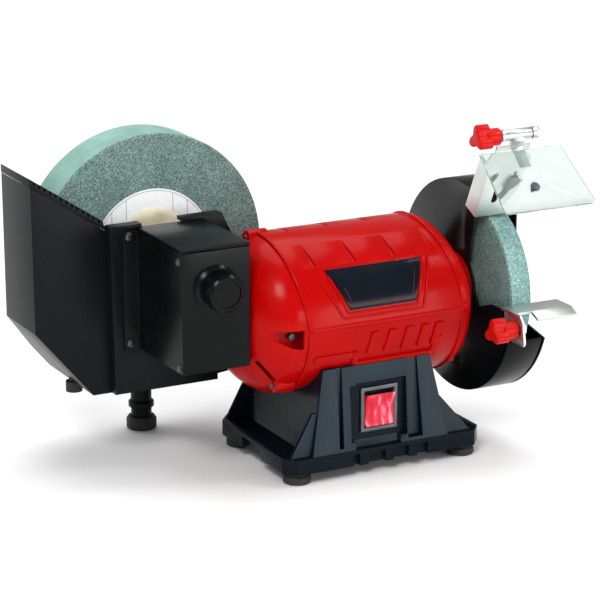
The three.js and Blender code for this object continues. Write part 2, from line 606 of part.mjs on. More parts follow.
// Rocker switch in the front recess, its capacitor and the cable gland at the back.
function electrics() {
  const [x, z] = SWITCH_PLACE;
  const seat = SWITCH_SEAT - GAP;
  const frame = join(
    box(x - 17, x + 17, seat - 1.8, seat, z - 19, z + 19),
    box(x - 15, x + 15, seat - 1, -40, z - 17, z + 17),
  );
  const well = box(x - 13.5 - GAP, x + 13.5 + GAP, -60, -46, z - 15.5 - GAP, z + 15.5 + GAP);
  addPart("switch_frame", cut(frame, well), finish(0x9aa0a2, 0.2));
  const section = [
    [-62.6, z + 13.5], [-58.8, z], [-60, z - 15], [-50, z - 9], [-47, z], [-50, z + 9],
  ];
  const rocker = prismX(section, x - 13.5, x + 13.5);
  addPart("switch_rocker", rocker, finish(0xe0304a, 0.25));
  addPart("capacitor", rodX(15, -150, -95, 15, BASE_BOTTOM + 2 + 15 + GAP, 24), finish(0x2a2c2e, 0.5));
  const gland = join(rodY(6, 54, 66, x, -84, 20), rodY(9, 66.5 - 2.4, 72, x, -84, 20));
  addPart("cord_gland", cut(gland, rodY(3.6, 50, 75, x, -84, 16)), rubber());
}

// Sheet guard round the dry wheel: left disc and rim in one, right cover screwed on.
function guardOutline(radius, inner) {
  const start = degrees(GUARD_LIP_ANGLE - 360);
  const end = degrees(GUARD_TOP_ANGLE);
  const shape = new THREE.Shape();
  shape.absarc(0, 0, radius, start, end, false);
  for (const [y, z] of inner) shape.lineTo(y, z);
  shape.closePath();
  return shape;
}

function guard() {
  const left = GUARD_LEFT;
  const discCut = [[-28, 64], [-22, 42], [-21, 20], [-38, -10], [-58, -3], [-106, -3], [-106, -23]];
  const disc = prismX(guardOutline(GUARD_RADIUS, discCut), left, left + SHEET);
  const rimLine = [polar(GUARD_RADIUS - SHEET, GUARD_TOP_ANGLE)];
  for (let angle = GUARD_TOP_ANGLE - 10; angle > GUARD_LIP_ANGLE - 360; angle -= 10) {
    rimLine.push(polar(GUARD_RADIUS - SHEET, angle));
  }
  rimLine.push(polar(GUARD_RADIUS - SHEET, GUARD_LIP_ANGLE - 360));
  const rim = prismX(guardOutline(GUARD_RADIUS, rimLine), left + SHEET - 0.5, GUARD_RIGHT - SHEET - GAP);
  const tab = inPlate(plateBox(left, GUARD_RIGHT - 3, 9, 52, -3.4, -1.2));
  const brace = inPlate(plateBox(left, left + SHEET, 14, 40, -3.4, -1.2));
  const holes = [
    rodX(SHAFT_RADIUS + 5, left - 1, left + 5),
    rodX(BOLT_RADIUS + GAP, left - 1, left + 5, REST_BOLT[0], REST_BOLT[1], 16),
  ];
  for (const x of SPARK_SCREWS) holes.push(inPlate(plateRod(2 + GAP, x, SPARK_SCREW_S, -6, 3)));
  addPart("guard_body", cut(join(disc, rim, tab, brace), ...holes), blackSheet());

  const coverCut = [[-38, 72], [-38, 0], [-58, -24]];
  const right = GUARD_RIGHT;
  const flat = prismX(guardOutline(GUARD_RADIUS, coverCut), right - SHEET, right);
  const dished = [
    [right - 1, 44], [right + 8, 38], [right + 8, 0.01],
    [right + 9.5, 0.01], [right + 9.5, 38.7], [right, 46],
  ];
  const dish = turnedX(dished, 22);
  const well = rodX(43, right - 3, right + 1);
  addPart("guard_cover", join(cut(flat, well), dish), blackSheet());
}

// ---- The spark plate's own plane: x across, s up along the plate, t out of its front ----
const PLATE_LENGTH = Math.hypot(ROD_Y - EDGE_Y, ROD_Z - EDGE_Z);
const plateUp = new THREE.Vector3(0, (ROD_Y - EDGE_Y) / PLATE_LENGTH, (ROD_Z - EDGE_Z) / PLATE_LENGTH);
const shieldDown = new THREE.Vector3(0, -Math.cos(degrees(SHIELD_ANGLE)), -Math.sin(degrees(SHIELD_ANGLE)));

function planeMatrix(direction, y, z) {
  const across = new THREE.Vector3(1, 0, 0);
  const out = new THREE.Vector3().crossVectors(across, direction);
  return new THREE.Matrix4().makeBasis(across, direction, out).setPosition(0, y, z);
}

const PLATE_PLANE = planeMatrix(plateUp, EDGE_Y, EDGE_Z);
const SHIELD_PLANE = planeMatrix(shieldDown, SHIELD_TOP_Y, SHIELD_TOP_Z);
const plateBox = (x0, x1, s0, s1, t0, t1) =>
  new THREE.BoxGeometry(x1 - x0, s1 - s0, t1 - t0).translate((x0 + x1) / 2, (s0 + s1) / 2, (t0 + t1) / 2);
const plateRod = (radius, x, s, t0, t1) =>
  new THREE.CylinderGeometry(radius, radius, t1 - t0, 16).rotateX(Math.PI / 2).translate(x, s, (t0 + t1) / 2);
const inPlate = (geometry) => toSolid(geometry.applyMatrix4(PLATE_PLANE));
const inShield = (geometry) => toSolid(geometry.applyMatrix4(SHIELD_PLANE));
const sheetOutline = (points, thick, start) =>
  extrusion(outline(points), thick).translate(0, 0, start);

const SPARK_SCREWS = [0, 16];
const SPARK_SCREW_S = 32;
const REST_BOLT = [-100, -13];

function sparkPlate() {
  const half = SHEET / 2;
  const edge = [
    [-14, 0], [22, 0], [25, 52], [19, 60], [19, 72], [-13, 72], [-13, 60], [-14, 54],
  ];
  const sheet = inPlate(sheetOutline(edge, SHEET, -half));
  const wing = inPlate(plateBox(-14, -14 + SHEET, 0, 54, -16, half));
  const slots = SPARK_SCREWS.map((x) => inPlate(plateBox(x - 2.6, x + 2.6, 14, 42, -3, 3)));
  const vent = inPlate(plateBox(-8, 4, 65.5, 67.5, -3, 3));
  const eyes = [[-13, -10], [16, 19]].map(([x0, x1]) =>
    join(inPlate(plateBox(x0, x1, 70, PLATE_LENGTH, -half, half)), rodX(5.2, x0, x1, ROD_Y, ROD_Z, 20)));
  const bore = rodX(BOLT_RADIUS + GAP, -30, 40, ROD_Y, ROD_Z, 20);
  addPart("spark_plate", cut(join(sheet, wing, ...eyes), ...slots, vent, bore), steel());
  SPARK_SCREWS.forEach((x, i) => {
    const screw = join(
      inPlate(plateRod(4.4, x, SPARK_SCREW_S, half + GAP, half + 3)),
      inPlate(plateRod(2, x, SPARK_SCREW_S, -7, half + 1)),
    );
    addPart("spark_screw_" + (i + 1), screw, darkSteel());
  });
}

function eyeShield() {
  const rod = join(rodX(BOLT_RADIUS, -33, 22, ROD_Y, ROD_Z, 20), rodX(5.5, 19 + GAP, 22.5, ROD_Y, ROD_Z, 6));
  addPart("shield_rod", rod, steel());
  addPart("shield_knob", lobedKnob(-38, -14, ROD_Y, ROD_Z, BOLT_RADIUS + GAP), redPlastic());

  const sleeve = rodX(4.8, -9.5, 15.5, ROD_Y, ROD_Z, 20);
  const arm = inShield(plateBox(-3, 7, -9, 16, SHIELD_THICK + GAP, SHIELD_THICK + 1.8));
  const neck = inShield(plateBox(-3, 7, -9, -4.5, -5, SHIELD_THICK + 1.8));
  const bore = rodX(BOLT_RADIUS + GAP, -30, 40, ROD_Y, ROD_Z, 20);
  addPart("shield_strap", cut(join(sleeve, arm, neck), bore), steel());

  const edge = [[-36, SHIELD_LENGTH], [50, SHIELD_LENGTH], [41, 0], [-36, 0]];
  const pane = inShield(sheetOutline(edge, SHIELD_THICK, 0));
  addPart("eye_shield", cut(pane, inShield(plateRod(2 + GAP, 0, 37, -3, 5))), finish(0xd8e4e0, 0.1));
  const screw = join(
    inShield(plateRod(4, 0, 37, -2.2, -GAP)),
    inShield(plateRod(2, 0, 37, -1, SHIELD_THICK + 4)),
  );
  addPart("shield_screw", screw, darkSteel());
}

function dryWheel() {
  const step = GAP + DRY_FLANGE;
  addPart("dry_flange_inner", ringX(DRY_FLANGE_RADIUS, DRY_BORE, -step, -GAP, 20), steel());
  addPart("dry_wheel", ringX(DRY_RADIUS, DRY_BORE, 0, DRY_WIDTH, 56), greyStone());
  const outer = ringX(DRY_FLANGE_RADIUS, DRY_BORE, DRY_WIDTH + GAP, DRY_WIDTH + step, 28);
  addPart("dry_flange_outer", outer, steel());
  const nut = DRY_WIDTH + step + GAP;
  const bore = rodX(DRY_BORE, nut - 1, nut + 8, 0, 0, 24);
  addPart("dry_nut", cut(rodX(10, nut, nut + 7, 0, 0, 6), bore), steel());
}

// Folded steel rest: a table in front of the dry wheel and a slotted leg beside the guard's ear.
function toolRest() {
  const thick = 2;
  const near = -DRY_RADIUS - TABLE_GAP;
  const left = GUARD_LEFT - GAP - thick;
  const table = box(left, 43, -99, near, -thick, 0);
  const lip = prismX([[-98, 0], [-98, -thick], [-108.4, -6.4], [-109.4, -4.6], [-99.5, 0]], 5, 43);
  const legEdge = [[-83, 0], [-83, -25], [-112, -25], [-113.5, -22.5], [-111, -6], [-106, 0]];
  const leg = prismX(legEdge, left, left + thick);
  const slot = box(left - 1, left + thick + 1, -108, -90.5, REST_BOLT[1] - 3.8, REST_BOLT[1] + 3.8);
  addPart("tool_rest", cut(join(table, lip, leg), slot), steel());

  const [y, z] = REST_BOLT;
  const bolt = join(
    rodX(5.5, GUARD_LEFT + SHEET + GAP, GUARD_LEFT + SHEET + 4, y, z, 6),
    rodX(BOLT_RADIUS, left - 18, GUARD_LEFT + SHEET + 1, y, z, 20),
  );
  addPart("rest_bolt", bolt, steel());
  addPart("rest_knob", lobedKnob(left - GAP - 24, left - GAP, y, z, BOLT_RADIUS + GAP), redPlastic());
}

motorHousing();
namePlate();
motorInside();
wormDrive();
wetSpindle();
carrierPlate(gearBox());
waterTank();
wetToolRest();
base();
electrics();
guard();
sparkPlate();
eyeShield();
dryWheel();
toolRest();

// The finished part stands on z = 0 with the middle of its footprint over the origin.
const grinder = new THREE.Group();
grinder.add(machine);
const extent = new THREE.Box3().setFromObject(machine);
const middle = extent.getCenter(new THREE.Vector3());
machine.position.set(-middle.x, -middle.y, -extent.min.z);

export default grinder;
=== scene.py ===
import json
import math

import bpy
from mathutils import Matrix, Vector


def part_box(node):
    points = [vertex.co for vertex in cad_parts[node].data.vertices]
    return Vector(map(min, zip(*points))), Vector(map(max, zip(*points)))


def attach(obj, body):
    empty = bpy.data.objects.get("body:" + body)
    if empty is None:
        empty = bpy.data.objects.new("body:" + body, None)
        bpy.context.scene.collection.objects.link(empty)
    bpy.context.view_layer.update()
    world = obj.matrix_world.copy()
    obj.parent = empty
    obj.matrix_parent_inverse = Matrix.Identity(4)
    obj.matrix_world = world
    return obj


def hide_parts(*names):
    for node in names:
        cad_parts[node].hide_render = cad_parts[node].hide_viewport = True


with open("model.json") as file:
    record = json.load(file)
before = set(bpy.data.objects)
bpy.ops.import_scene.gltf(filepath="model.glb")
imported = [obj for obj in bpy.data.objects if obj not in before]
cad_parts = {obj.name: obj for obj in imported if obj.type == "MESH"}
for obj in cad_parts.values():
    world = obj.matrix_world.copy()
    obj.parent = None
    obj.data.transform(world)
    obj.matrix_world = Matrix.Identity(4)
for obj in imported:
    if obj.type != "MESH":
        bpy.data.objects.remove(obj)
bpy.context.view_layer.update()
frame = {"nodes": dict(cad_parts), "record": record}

bl_info = {
    "name": "Wet and dry bench grinder",
    "version": (1, 0, 0),
    "blender": (4, 5, 0),
    "location": "3D View > Sidebar > Grinder",
    "description": "Models the visible pieces of a wet and dry bench grinder round its CAD frame",
    "category": "Object",
}

MM = 0.001
DRY_LOW, DRY_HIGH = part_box("dry_wheel")
WET_LOW, WET_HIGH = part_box("wet_wheel")
# The workshop zero: left face of the dry wheel, on the motor axis. Sizes below are millimetres from it.
ZERO = Vector((DRY_LOW.x, (DRY_LOW.y + DRY_HIGH.y) / 2, (DRY_LOW.z + DRY_HIGH.z) / 2))
BODY_RADIUS = 66.5
CREASE = 68.2
WET_X = ((WET_LOW.x + WET_HIGH.x) / 2 - ZERO.x) / MM
WET_Z = ((WET_LOW.z + WET_HIGH.z) / 2 - ZERO.z) / MM
FLOOR = -130.6
GUARD_LEFT = -8.7
GUARD_RIGHT = 27.6
GUARD_RADIUS = 90.5
GUARD_SHEET = 1.5
HOUSING_WALL = 3
GROOVE_PLACES = (-170, -133.4, -97, -60.6)
WET_FRONT, WET_BACK, WET_RADIUS, WET_BORE = 78, 118, 100, 10
DRY_WIDTH, DRY_RADIUS, DRY_BORE = 20, 75, 6.35
WET_FLANGE_RADIUS = 37.5
LABEL_RADIUS = 54
LABEL_INK_RADIUS = 52.7
SWITCH_X, SWITCH_Z = -114, -76.7
SWITCH_FRONT = -58.5
POST_X = -242
BOLT_BORE = 3.3
REST_BOLT = (-100, -13)
SLOT_PLACES = (0, 16)
X, Y, Z = Vector((1, 0, 0)), Vector((0, 1, 0)), Vector((0, 0, 1))


# ---- Sizes and colours a user may change ----
class GrinderSizes(bpy.types.PropertyGroup):
    edge_round: bpy.props.FloatProperty(
        name="Moulded edge", description="Round of the moulded plastic edges",
        default=1.1 * MM, min=0, unit="LENGTH")
    sheet_round: bpy.props.FloatProperty(
        name="Sheet edge", description="Round of the folded sheet's cut edges",
        default=0.35 * MM, min=0, unit="LENGTH")
    groove_depth: bpy.props.FloatProperty(
        name="Groove depth", description="Depth of the grooves over the top of the motor",
        default=2.2 * MM, min=0, unit="LENGTH")
    stone_chamfer: bpy.props.FloatProperty(
        name="Stone chamfer", description="Chamfer round the grinding stones",
        default=1.2 * MM, min=0, unit="LENGTH")


class GrinderColours(bpy.types.PropertyGroup):
    enamel: bpy.props.FloatVectorProperty(
        name="Enamel", description="Enamel of the motor housing", subtype="COLOR",
        size=3, default=(0.40, 0.0010, 0.0008), min=0, max=1)
    knob: bpy.props.FloatVectorProperty(
        name="Knobs", description="Moulded clamping knobs", subtype="COLOR",
        size=3, default=(0.50, 0.006, 0.004), min=0, max=1)
    plastic: bpy.props.FloatVectorProperty(
        name="Moulded plastic", description="Tank and carrier", subtype="COLOR",
        size=3, default=(0.0035, 0.0045, 0.005), min=0, max=1)
    sheet: bpy.props.FloatVectorProperty(
        name="Coated sheet", description="Gear box and wheel guard", subtype="COLOR",
        size=3, default=(0.002, 0.0028, 0.003), min=0, max=1)
    # Used at full strength on the base's front faces as painted sheen; the other faces of the base take
    # half of it.
    base: bpy.props.FloatVectorProperty(
        name="Base", description="Textured plastic of the base", subtype="COLOR",
        size=3, default=(0.0030, 0.0100, 0.0165), min=0, max=1)
    stone: bpy.props.FloatVectorProperty(
        name="Stone", description="Bonded abrasive of both wheels", subtype="COLOR",
        size=3, default=(0.146, 0.228, 0.208), min=0, max=1)


FINISHES = {}


# ---- Modelling by hand ----
def at(x, y, z):
    """A place in millimetres from the workshop zero."""
    return ZERO + Vector((x, y, z)) * MM


def on_body(x, angle, lift=0.0):
    """A place on the motor housing, at an angle above its front."""
    turn = math.radians(angle)
    radius = BODY_RADIUS + lift
    return (x, -radius * math.cos(turn), radius * math.sin(turn))


def clear_selection():
    if bpy.context.mode != "OBJECT":
        bpy.ops.object.mode_set(mode="OBJECT")
    bpy.ops.object.select_all(action="DESELECT")


def pick(piece):
    clear_selection()
    piece.select_set(True)
    bpy.context.view_layer.objects.active = piece


def start_editing(piece):
    pick(piece)
    bpy.ops.object.mode_set(mode="EDIT")
    bpy.ops.mesh.select_all(action="SELECT")


def stop_editing():
    bpy.ops.object.mode_set(mode="OBJECT")


def placed(name):
    """Names the new primitive and puts its place into its mesh."""
    piece = bpy.context.object
    piece.name = name
    piece.data.name = name
    bpy.ops.object.transform_apply(location=True, rotation=True, scale=True)
    return piece


def loop_of(name, points, fill="NGON"):
    """A closed loop, or the face inside it, whose corners are in millimetres."""
    clear_selection()
    bpy.ops.mesh.primitive_circle_add(vertices=len(points), radius=MM, fill_type=fill)
    piece = placed(name)
    for vertex, point in zip(piece.data.vertices, points):
        vertex.co = at(*point)
    return piece


def close_up(piece, merge=0.01):
    start_editing(piece)
    bpy.ops.mesh.remove_doubles(threshold=merge * MM)
    bpy.ops.mesh.delete_loose()
    bpy.ops.mesh.select_all(action="SELECT")
    bpy.ops.mesh.normals_make_consistent(inside=False)
    stop_editing()
    return piece


def extruded(name, points, way):
    """A flat outline extruded by a vector, in millimetres."""
    piece = loop_of(name, points)
    start_editing(piece)
    bpy.ops.mesh.extrude_region_move(TRANSFORM_OT_translate={"value": Vector(way) * MM})
    stop_editing()
    return close_up(piece)


def turned(name, section, centre, axis, steps=96, sweep=360.0):
    """A section of along, radius points turned round an axis through centre."""
    side = X if axis == Z else Z
    points = [Vector(centre) + axis * along + side * radius for along, radius in section]
    piece = loop_of(name, points, "NOTHING" if sweep == 360 else "NGON")
    start_editing(piece)
    bpy.ops.mesh.spin(
        steps=steps, angle=math.radians(sweep), center=at(*centre), axis=axis, dupli=False)
    stop_editing()
    return close_up(piece)


def block(name, x0, x1, y0, y1, z0, z1):
    clear_selection()
    middle = at((x0 + x1) / 2, (y0 + y1) / 2, (z0 + z1) / 2)
    size = Vector((x1 - x0, y1 - y0, z1 - z0)) * MM
    bpy.ops.mesh.primitive_cube_add(size=1, location=middle, scale=size)
    return placed(name)


def rod(name, radius, first, last, sides=40):
    """A round bar between two points in millimetres."""
    clear_selection()
    a, b = at(*first), at(*last)
    way = b - a
    bpy.ops.mesh.primitive_cylinder_add(
        vertices=sides, radius=radius * MM, depth=way.length, location=(a + b) / 2,
        rotation=way.to_track_quat("Z", "Y").to_euler())
    return placed(name)


def taper(name, radius, end_radius, first, last, sides=32):
    """A round cone between two points in millimetres."""
    clear_selection()
    a, b = at(*first), at(*last)
    way = b - a
    bpy.ops.mesh.primitive_cone_add(
        vertices=sides, radius1=radius * MM, radius2=end_radius * MM, depth=way.length,
        location=(a + b) / 2, rotation=way.to_track_quat("Z", "Y").to_euler())
    return placed(name)


def bead(name, points, radius, closed=False):
    """A thin round bead laid through points in millimetres."""
    clear_selection()
    bpy.ops.curve.primitive_nurbs_path_add()
    line = bpy.context.object
    line.location = (0, 0, 0)
    curve = line.data
    curve.splines.clear()
    spline = curve.splines.new("POLY")
    spline.points.add(len(points) - 1)
    for corner, point in zip(spline.points, points):
        corner.co = (*at(*point), 1)
    spline.use_cyclic_u = closed
    curve.bevel_depth = radius * MM
    curve.bevel_resolution = 3
    curve.use_fill_caps = not closed
    pick(line)
    bpy.ops.object.convert(target="MESH")
    return close_up(placed(name), 0.001)


def use_modifier(piece, kind, **values):
    modifier = piece.modifiers.new(kind.title(), kind)
    for key, value in values.items():
        setattr(modifier, key, value)
    pick(piece)
    bpy.ops.object.modifier_apply(modifier=modifier.name)
    return piece


def combine(piece, operation, tools):
    for tool in tools:
        use_modifier(piece, "BOOLEAN", operation=operation, object=tool, solver="EXACT")
        bpy.data.objects.remove(tool)
    return piece


def cut(piece, *tools):
    return combine(piece, "DIFFERENCE", tools)


def fused(piece, *others):
    return combine(piece, "UNION", others)


def together(name, *pieces):
    """Several closed pieces held as one object."""
    clear_selection()
    for piece in pieces:
        piece.select_set(True)
    bpy.context.view_layer.objects.active = pieces[0]
    bpy.ops.object.join()
    pieces[0].name = name
    return pieces[0]


def smooth(piece, angle=32):
    pick(piece)
    bpy.ops.object.shade_smooth_by_angle(angle=math.radians(angle))
    return piece


def eased(piece, width, segments=2, angle=30):
    """Rounds the sharp edges; the width is in metres."""
    use_modifier(
        piece, "BEVEL", width=width, segments=segments, limit_method="ANGLE",
        angle_limit=math.radians(angle), harden_normals=False, use_clamp_overlap=True)
    return smooth(piece)


def refined(node, name, width, segments=2, angle=30):
    """A merged copy of a CAD node with its sharp edges rounded."""
    piece = bpy.data.objects.new(name, frame["nodes"][node].data.copy())
    bpy.context.scene.collection.objects.link(piece)
    piece.data.name = name
    piece.data.materials.clear()
    start_editing(piece)
    bpy.ops.mesh.remove_doubles(threshold=0.005 * MM)
    bpy.ops.mesh.select_all(action="SELECT")
    bpy.ops.mesh.dissolve_limited(angle_limit=math.radians(1.0))
    stop_editing()
    return eased(piece, width, segments, angle)


def done(piece, body, slot_name, *nodes, finish=None):
    """Gives a finished piece its finish, unless it has one, and its body, and hides the CAD nodes it stands
    for.
    """
    if len(piece.data.materials) == 0:
        piece.data.materials.append(FINISHES[finish or slot_name])
    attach(piece, body)
    if nodes:
        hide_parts(*nodes)
    return piece


# ---- Finishes ----
class Finish:
    """One node material that reads the piece's own Object coordinates."""

    def __init__(self, name, colour, roughness, metallic=0.0):
        self.material = bpy.data.materials.new(name)
        self.material.use_nodes = True
        self.nodes = self.material.node_tree.nodes
        self.link = self.material.node_tree.links.new
        self.shader = self.nodes["Principled BSDF"]
        self.shader.inputs["Base Color"].default_value = (*colour[:3], 1)
        self.shader.inputs["Roughness"].default_value = roughness
        self.shader.inputs["Metallic"].default_value = metallic
        self.place = self.nodes.new("ShaderNodeTexCoord").outputs["Object"]
        self.height = None

    def set(self, **values):
        for key, value in values.items():
            self.shader.inputs[key.replace("_", " ")].default_value = value
        return self

    def stretched(self, scale):
        mapping = self.nodes.new("ShaderNodeMapping")
        mapping.inputs["Scale"].default_value = scale
        self.link(self.place, mapping.inputs["Vector"])
        return mapping.outputs["Vector"]

    def noise(self, scale, detail=2.0, stretch=None, rough=0.5):
        node = self.nodes.new("ShaderNodeTexNoise")
        node.inputs["Scale"].default_value = scale
        node.inputs["Detail"].default_value = detail
        node.inputs["Roughness"].default_value = rough
        self.link(self.stretched(stretch) if stretch else self.place, node.inputs["Vector"])
        return node.outputs["Fac"]

    def grains(self, scale, what="Distance"):
        node = self.nodes.new("ShaderNodeTexVoronoi")
        node.inputs["Scale"].default_value = scale
        self.link(self.place, node.inputs["Vector"])
        return node.outputs[what]

    def grey(self, colour):
        node = self.nodes.new("ShaderNodeSeparateColor")
        self.link(colour, node.inputs["Color"])
        return node.outputs["Red"]

    def tones(self, factor, stops):
        ramp = self.nodes.new("ShaderNodeValToRGB")
        elements = ramp.color_ramp.elements
        while len(elements) < len(stops):
            elements.new(0.5)
        for element, (place, colour) in zip(elements, stops):
            element.position = place
            element.color = (*colour[:3], 1)
        self.link(factor, ramp.inputs["Fac"])
        return ramp.outputs["Color"]

    def blend(self, factor, first, second, kind="MIX"):
        node = self.nodes.new("ShaderNodeMix")
        node.data_type = "RGBA"
        node.blend_type = kind
        for socket, value in (("Factor", factor), ("A", first), ("B", second)):
            wanted = "VALUE" if socket == "Factor" else "RGBA"
            target = next(s for s in node.inputs if s.name == socket and s.type == wanted)
            if isinstance(value, (int, float)):
                target.default_value = value
            elif isinstance(value, (tuple, list)):
                target.default_value = (*value[:3], 1)
            else:
                self.link(value, target)
        return next(s for s in node.outputs if s.type == "RGBA")

    def colour(self, socket):
        self.link(socket, self.shader.inputs["Base Color"])
        return self

    def roughness(self, factor, low, high):
        node = self.nodes.new("ShaderNodeMapRange")
        node.inputs["To Min"].default_value = low
        node.inputs["To Max"].default_value = high
        self.link(factor, node.inputs["Value"])
        self.link(node.outputs["Result"], self.shader.inputs["Roughness"])
        return self

    def relief(self, factor, distance, strength=1.0):
        node = self.nodes.new("ShaderNodeBump")
        node.inputs["Distance"].default_value = distance * MM
        node.inputs["Strength"].default_value = strength
        self.link(factor, node.inputs["Height"])
        if self.height:
            self.link(self.height, node.inputs["Normal"])
        self.height = node.outputs["Normal"]
        self.link(self.height, self.shader.inputs["Normal"])
        return self


def shade(colour, factor):
    return tuple(min(1.0, channel * factor) for channel in colour[:3])


def enamel(colours):
    base = tuple(colours.enamel)
    coat = Finish("red_enamel", base, 0.3)
    coat.set(Coat_Weight=0.03, Coat_Roughness=0.05, Specular_IOR_Level=0.07)
    cloud = coat.noise(14, 3)
    coat.colour(coat.tones(cloud, [(0.3, shade(base, 0.9)), (0.7, shade(base, 1.06))]))
    coat.roughness(coat.noise(60, 4), 0.2, 0.3)
    coat.relief(coat.noise(420, 2), 0.05, 0.35)
    coat.relief(coat.noise(1500, 2), 0.02, 0.3)
    return coat.material


def moulded(name, base, rough=0.34, grain=0.04, lift=1.9, specular=0.09):
    plastic = Finish(name, base, rough)
    plastic.set(Specular_IOR_Level=specular)
    cloud = plastic.noise(30, 4)
    fine = plastic.noise(900, 3)
    tone = plastic.tones(cloud, [(0.3, shade(base, 0.85)), (0.72, shade(base, 1.25))])
    plastic.colour(plastic.blend(plastic.grains(1400), shade(base, lift), tone))
    plastic.roughness(fine, rough - 0.07, rough + 0.1)
    plastic.relief(fine, grain, 0.6)
    plastic.relief(plastic.grains(1100), grain * 0.7, 0.35)
    return plastic.material


def coated(name, base, rough=0.22):
    coat = Finish(name, base, rough)
    coat.set(Specular_IOR_Level=0.1, Coat_Weight=0.02, Coat_Roughness=0.1)
    cloud = coat.noise(25, 4)
    coat.colour(coat.tones(cloud, [(0.3, shade(base, 0.8)), (0.7, shade(base, 1.5))]))
    coat.roughness(coat.noise(160, 4), rough - 0.05, rough + 0.1)
    coat.relief(coat.noise(700, 3), 0.035, 0.45)
    return coat.material


def stone(name, base, contrast=1.0, grain=1250):
    """Bonded grit: dark and pale grains in a grey green bond."""
    grit = Finish(name, base, 0.92)
    grit.set(Specular_IOR_Level=0.2)
    cell = grit.grey(grit.grains(grain, "Color"))
    fine = grit.noise(1.9 * grain, 3)
    tone = grit.tones(cell, [
        (place, shade(base, 1 + contrast * step))
        for place, step in ((0.0, -0.62), (0.2, -0.3), (0.55, 0.0), (0.85, 0.3), (1.0, 0.95))])
    patch = grit.tones(grit.noise(45, 3), [(0.35, (0.9,) * 3), (0.65, (1.08,) * 3)])
    grit.colour(grit.blend(1.0, tone, patch, "MULTIPLY"))
    grit.roughness(fine, 0.82, 0.98)
    grit.relief(grit.grains(grain), 0.22, 0.25 + 0.3 * contrast)
    grit.relief(fine, 0.1, 0.5)
    return grit.material


def brushed(name, colour, rough, stretch=(1, 40, 40), relief=0.012):
    """Metal with fine drawn lines along one axis."""
    metal = Finish(name, colour, rough, 1.0)
    lines = metal.noise(70, 4, stretch)
    cloud = metal.noise(40, 3)
    streak = metal.tones(lines, [(0.3, shade(colour, 0.86)), (0.7, shade(colour, 1.08))])
    patch = metal.tones(cloud, [(0.35, (0.9,) * 3), (0.65, (1.04,) * 3)])
    metal.colour(metal.blend(1.0, streak, patch, "MULTIPLY"))
    metal.roughness(lines, rough - 0.07, rough + 0.12)
    metal.relief(lines, relief, 0.5)
    return metal.material


def soft_rubber():
    skin = Finish("black_rubber", (0.012, 0.012, 0.013), 0.75)
    fine = skin.noise(1200, 3)
    skin.colour(skin.tones(skin.noise(60, 3), [(0.3, (0.008, 0.008, 0.009)), (0.7, (0.02, 0.02, 0.021))]))
    skin.roughness(fine, 0.62, 0.86)
    skin.relief(fine, 0.06, 0.5)
    return skin.material


def label_paper():
    paper = Finish("label_paper", (0.80, 0.82, 0.82), 0.62)
    paper.colour(paper.tones(paper.noise(700, 4), [(0.3, (0.72, 0.75, 0.76)), (0.7, (0.86, 0.88, 0.88))]))
    paper.relief(paper.noise(1500, 3), 0.02, 0.4)
    return paper.material


def cream_plastic():
    cream = Finish("cream_plastic", (0.72, 0.66, 0.46), 0.45)
    cream.colour(cream.tones(cream.noise(90, 4), [(0.3, (0.62, 0.56, 0.38)), (0.7, (0.78, 0.72, 0.52))]))
    cream.roughness(cream.noise(300, 3), 0.4, 0.55)
    cream.relief(cream.noise(800, 2), 0.03, 0.4)
    return cream.material


def clear_sheet():
    """Clear polycarbonate with faint scuffs."""
    clear = Finish("clear_polycarbonate", (0.74, 0.81, 0.79), 0.04)
    clear.set(Transmission_Weight=0.88, IOR=1.2, Specular_IOR_Level=0.35)
    clear.roughness(clear.noise(120, 5, (1, 6, 1)), 0.02, 0.12)
    clear.relief(clear.noise(26, 2), 0.05, 0.3)
    return clear.material


def lit_plastic(name, colour, transmission, rough=0.12):
    plastic = Finish(name, colour, rough)
    plastic.set(Transmission_Weight=transmission, IOR=1.45, Coat_Weight=0.4, Coat_Roughness=0.06)
    plastic.colour(plastic.tones(
        plastic.noise(120, 3), [(0.3, shade(colour, 0.8)), (0.7, shade(colour, 1.15))]))
    plastic.roughness(plastic.noise(300, 3), rough * 0.7, rough * 1.5)
    return plastic.material


def red_lens_with_painted_highlights():
    """Translucent red lens with upright fluting; its pale pink streaks are painted highlights."""
    lens = Finish("switch_lens_red", (0.78, 0.02, 0.06), 0.14)
    lens.set(Transmission_Weight=0.15, IOR=1.45)
    flutes_and_painted_highlights = lens.noise(150, 2, (1, 1, 0.28))
    # The pale pink end of the ramp is painted highlight along the fluting; the relief below is the
    # fluting's real bump.
    lens.colour(lens.tones(flutes_and_painted_highlights, [
        (0.36, (0.62, 0.003, 0.012)), (0.52, (0.85, 0.02, 0.07)), (0.66, (0.95, 0.42, 0.52))]))
    lens.relief(flutes_and_painted_highlights, 0.2, 0.5)
    return lens.material


def gloss_plastic(name, colour, rough=0.2):
    plastic = Finish(name, colour, rough)
    plastic.set(Specular_IOR_Level=0.12, Coat_Weight=0.02, Coat_Roughness=0.08)
    plastic.colour(plastic.tones(
        plastic.noise(40, 3), [(0.3, shade(colour, 0.86)), (0.7, shade(colour, 1.12))]))
    plastic.roughness(plastic.noise(200, 3), rough * 0.8, rough * 1.4)
    plastic.relief(plastic.noise(500, 2), 0.02, 0.3)
    return plastic.material


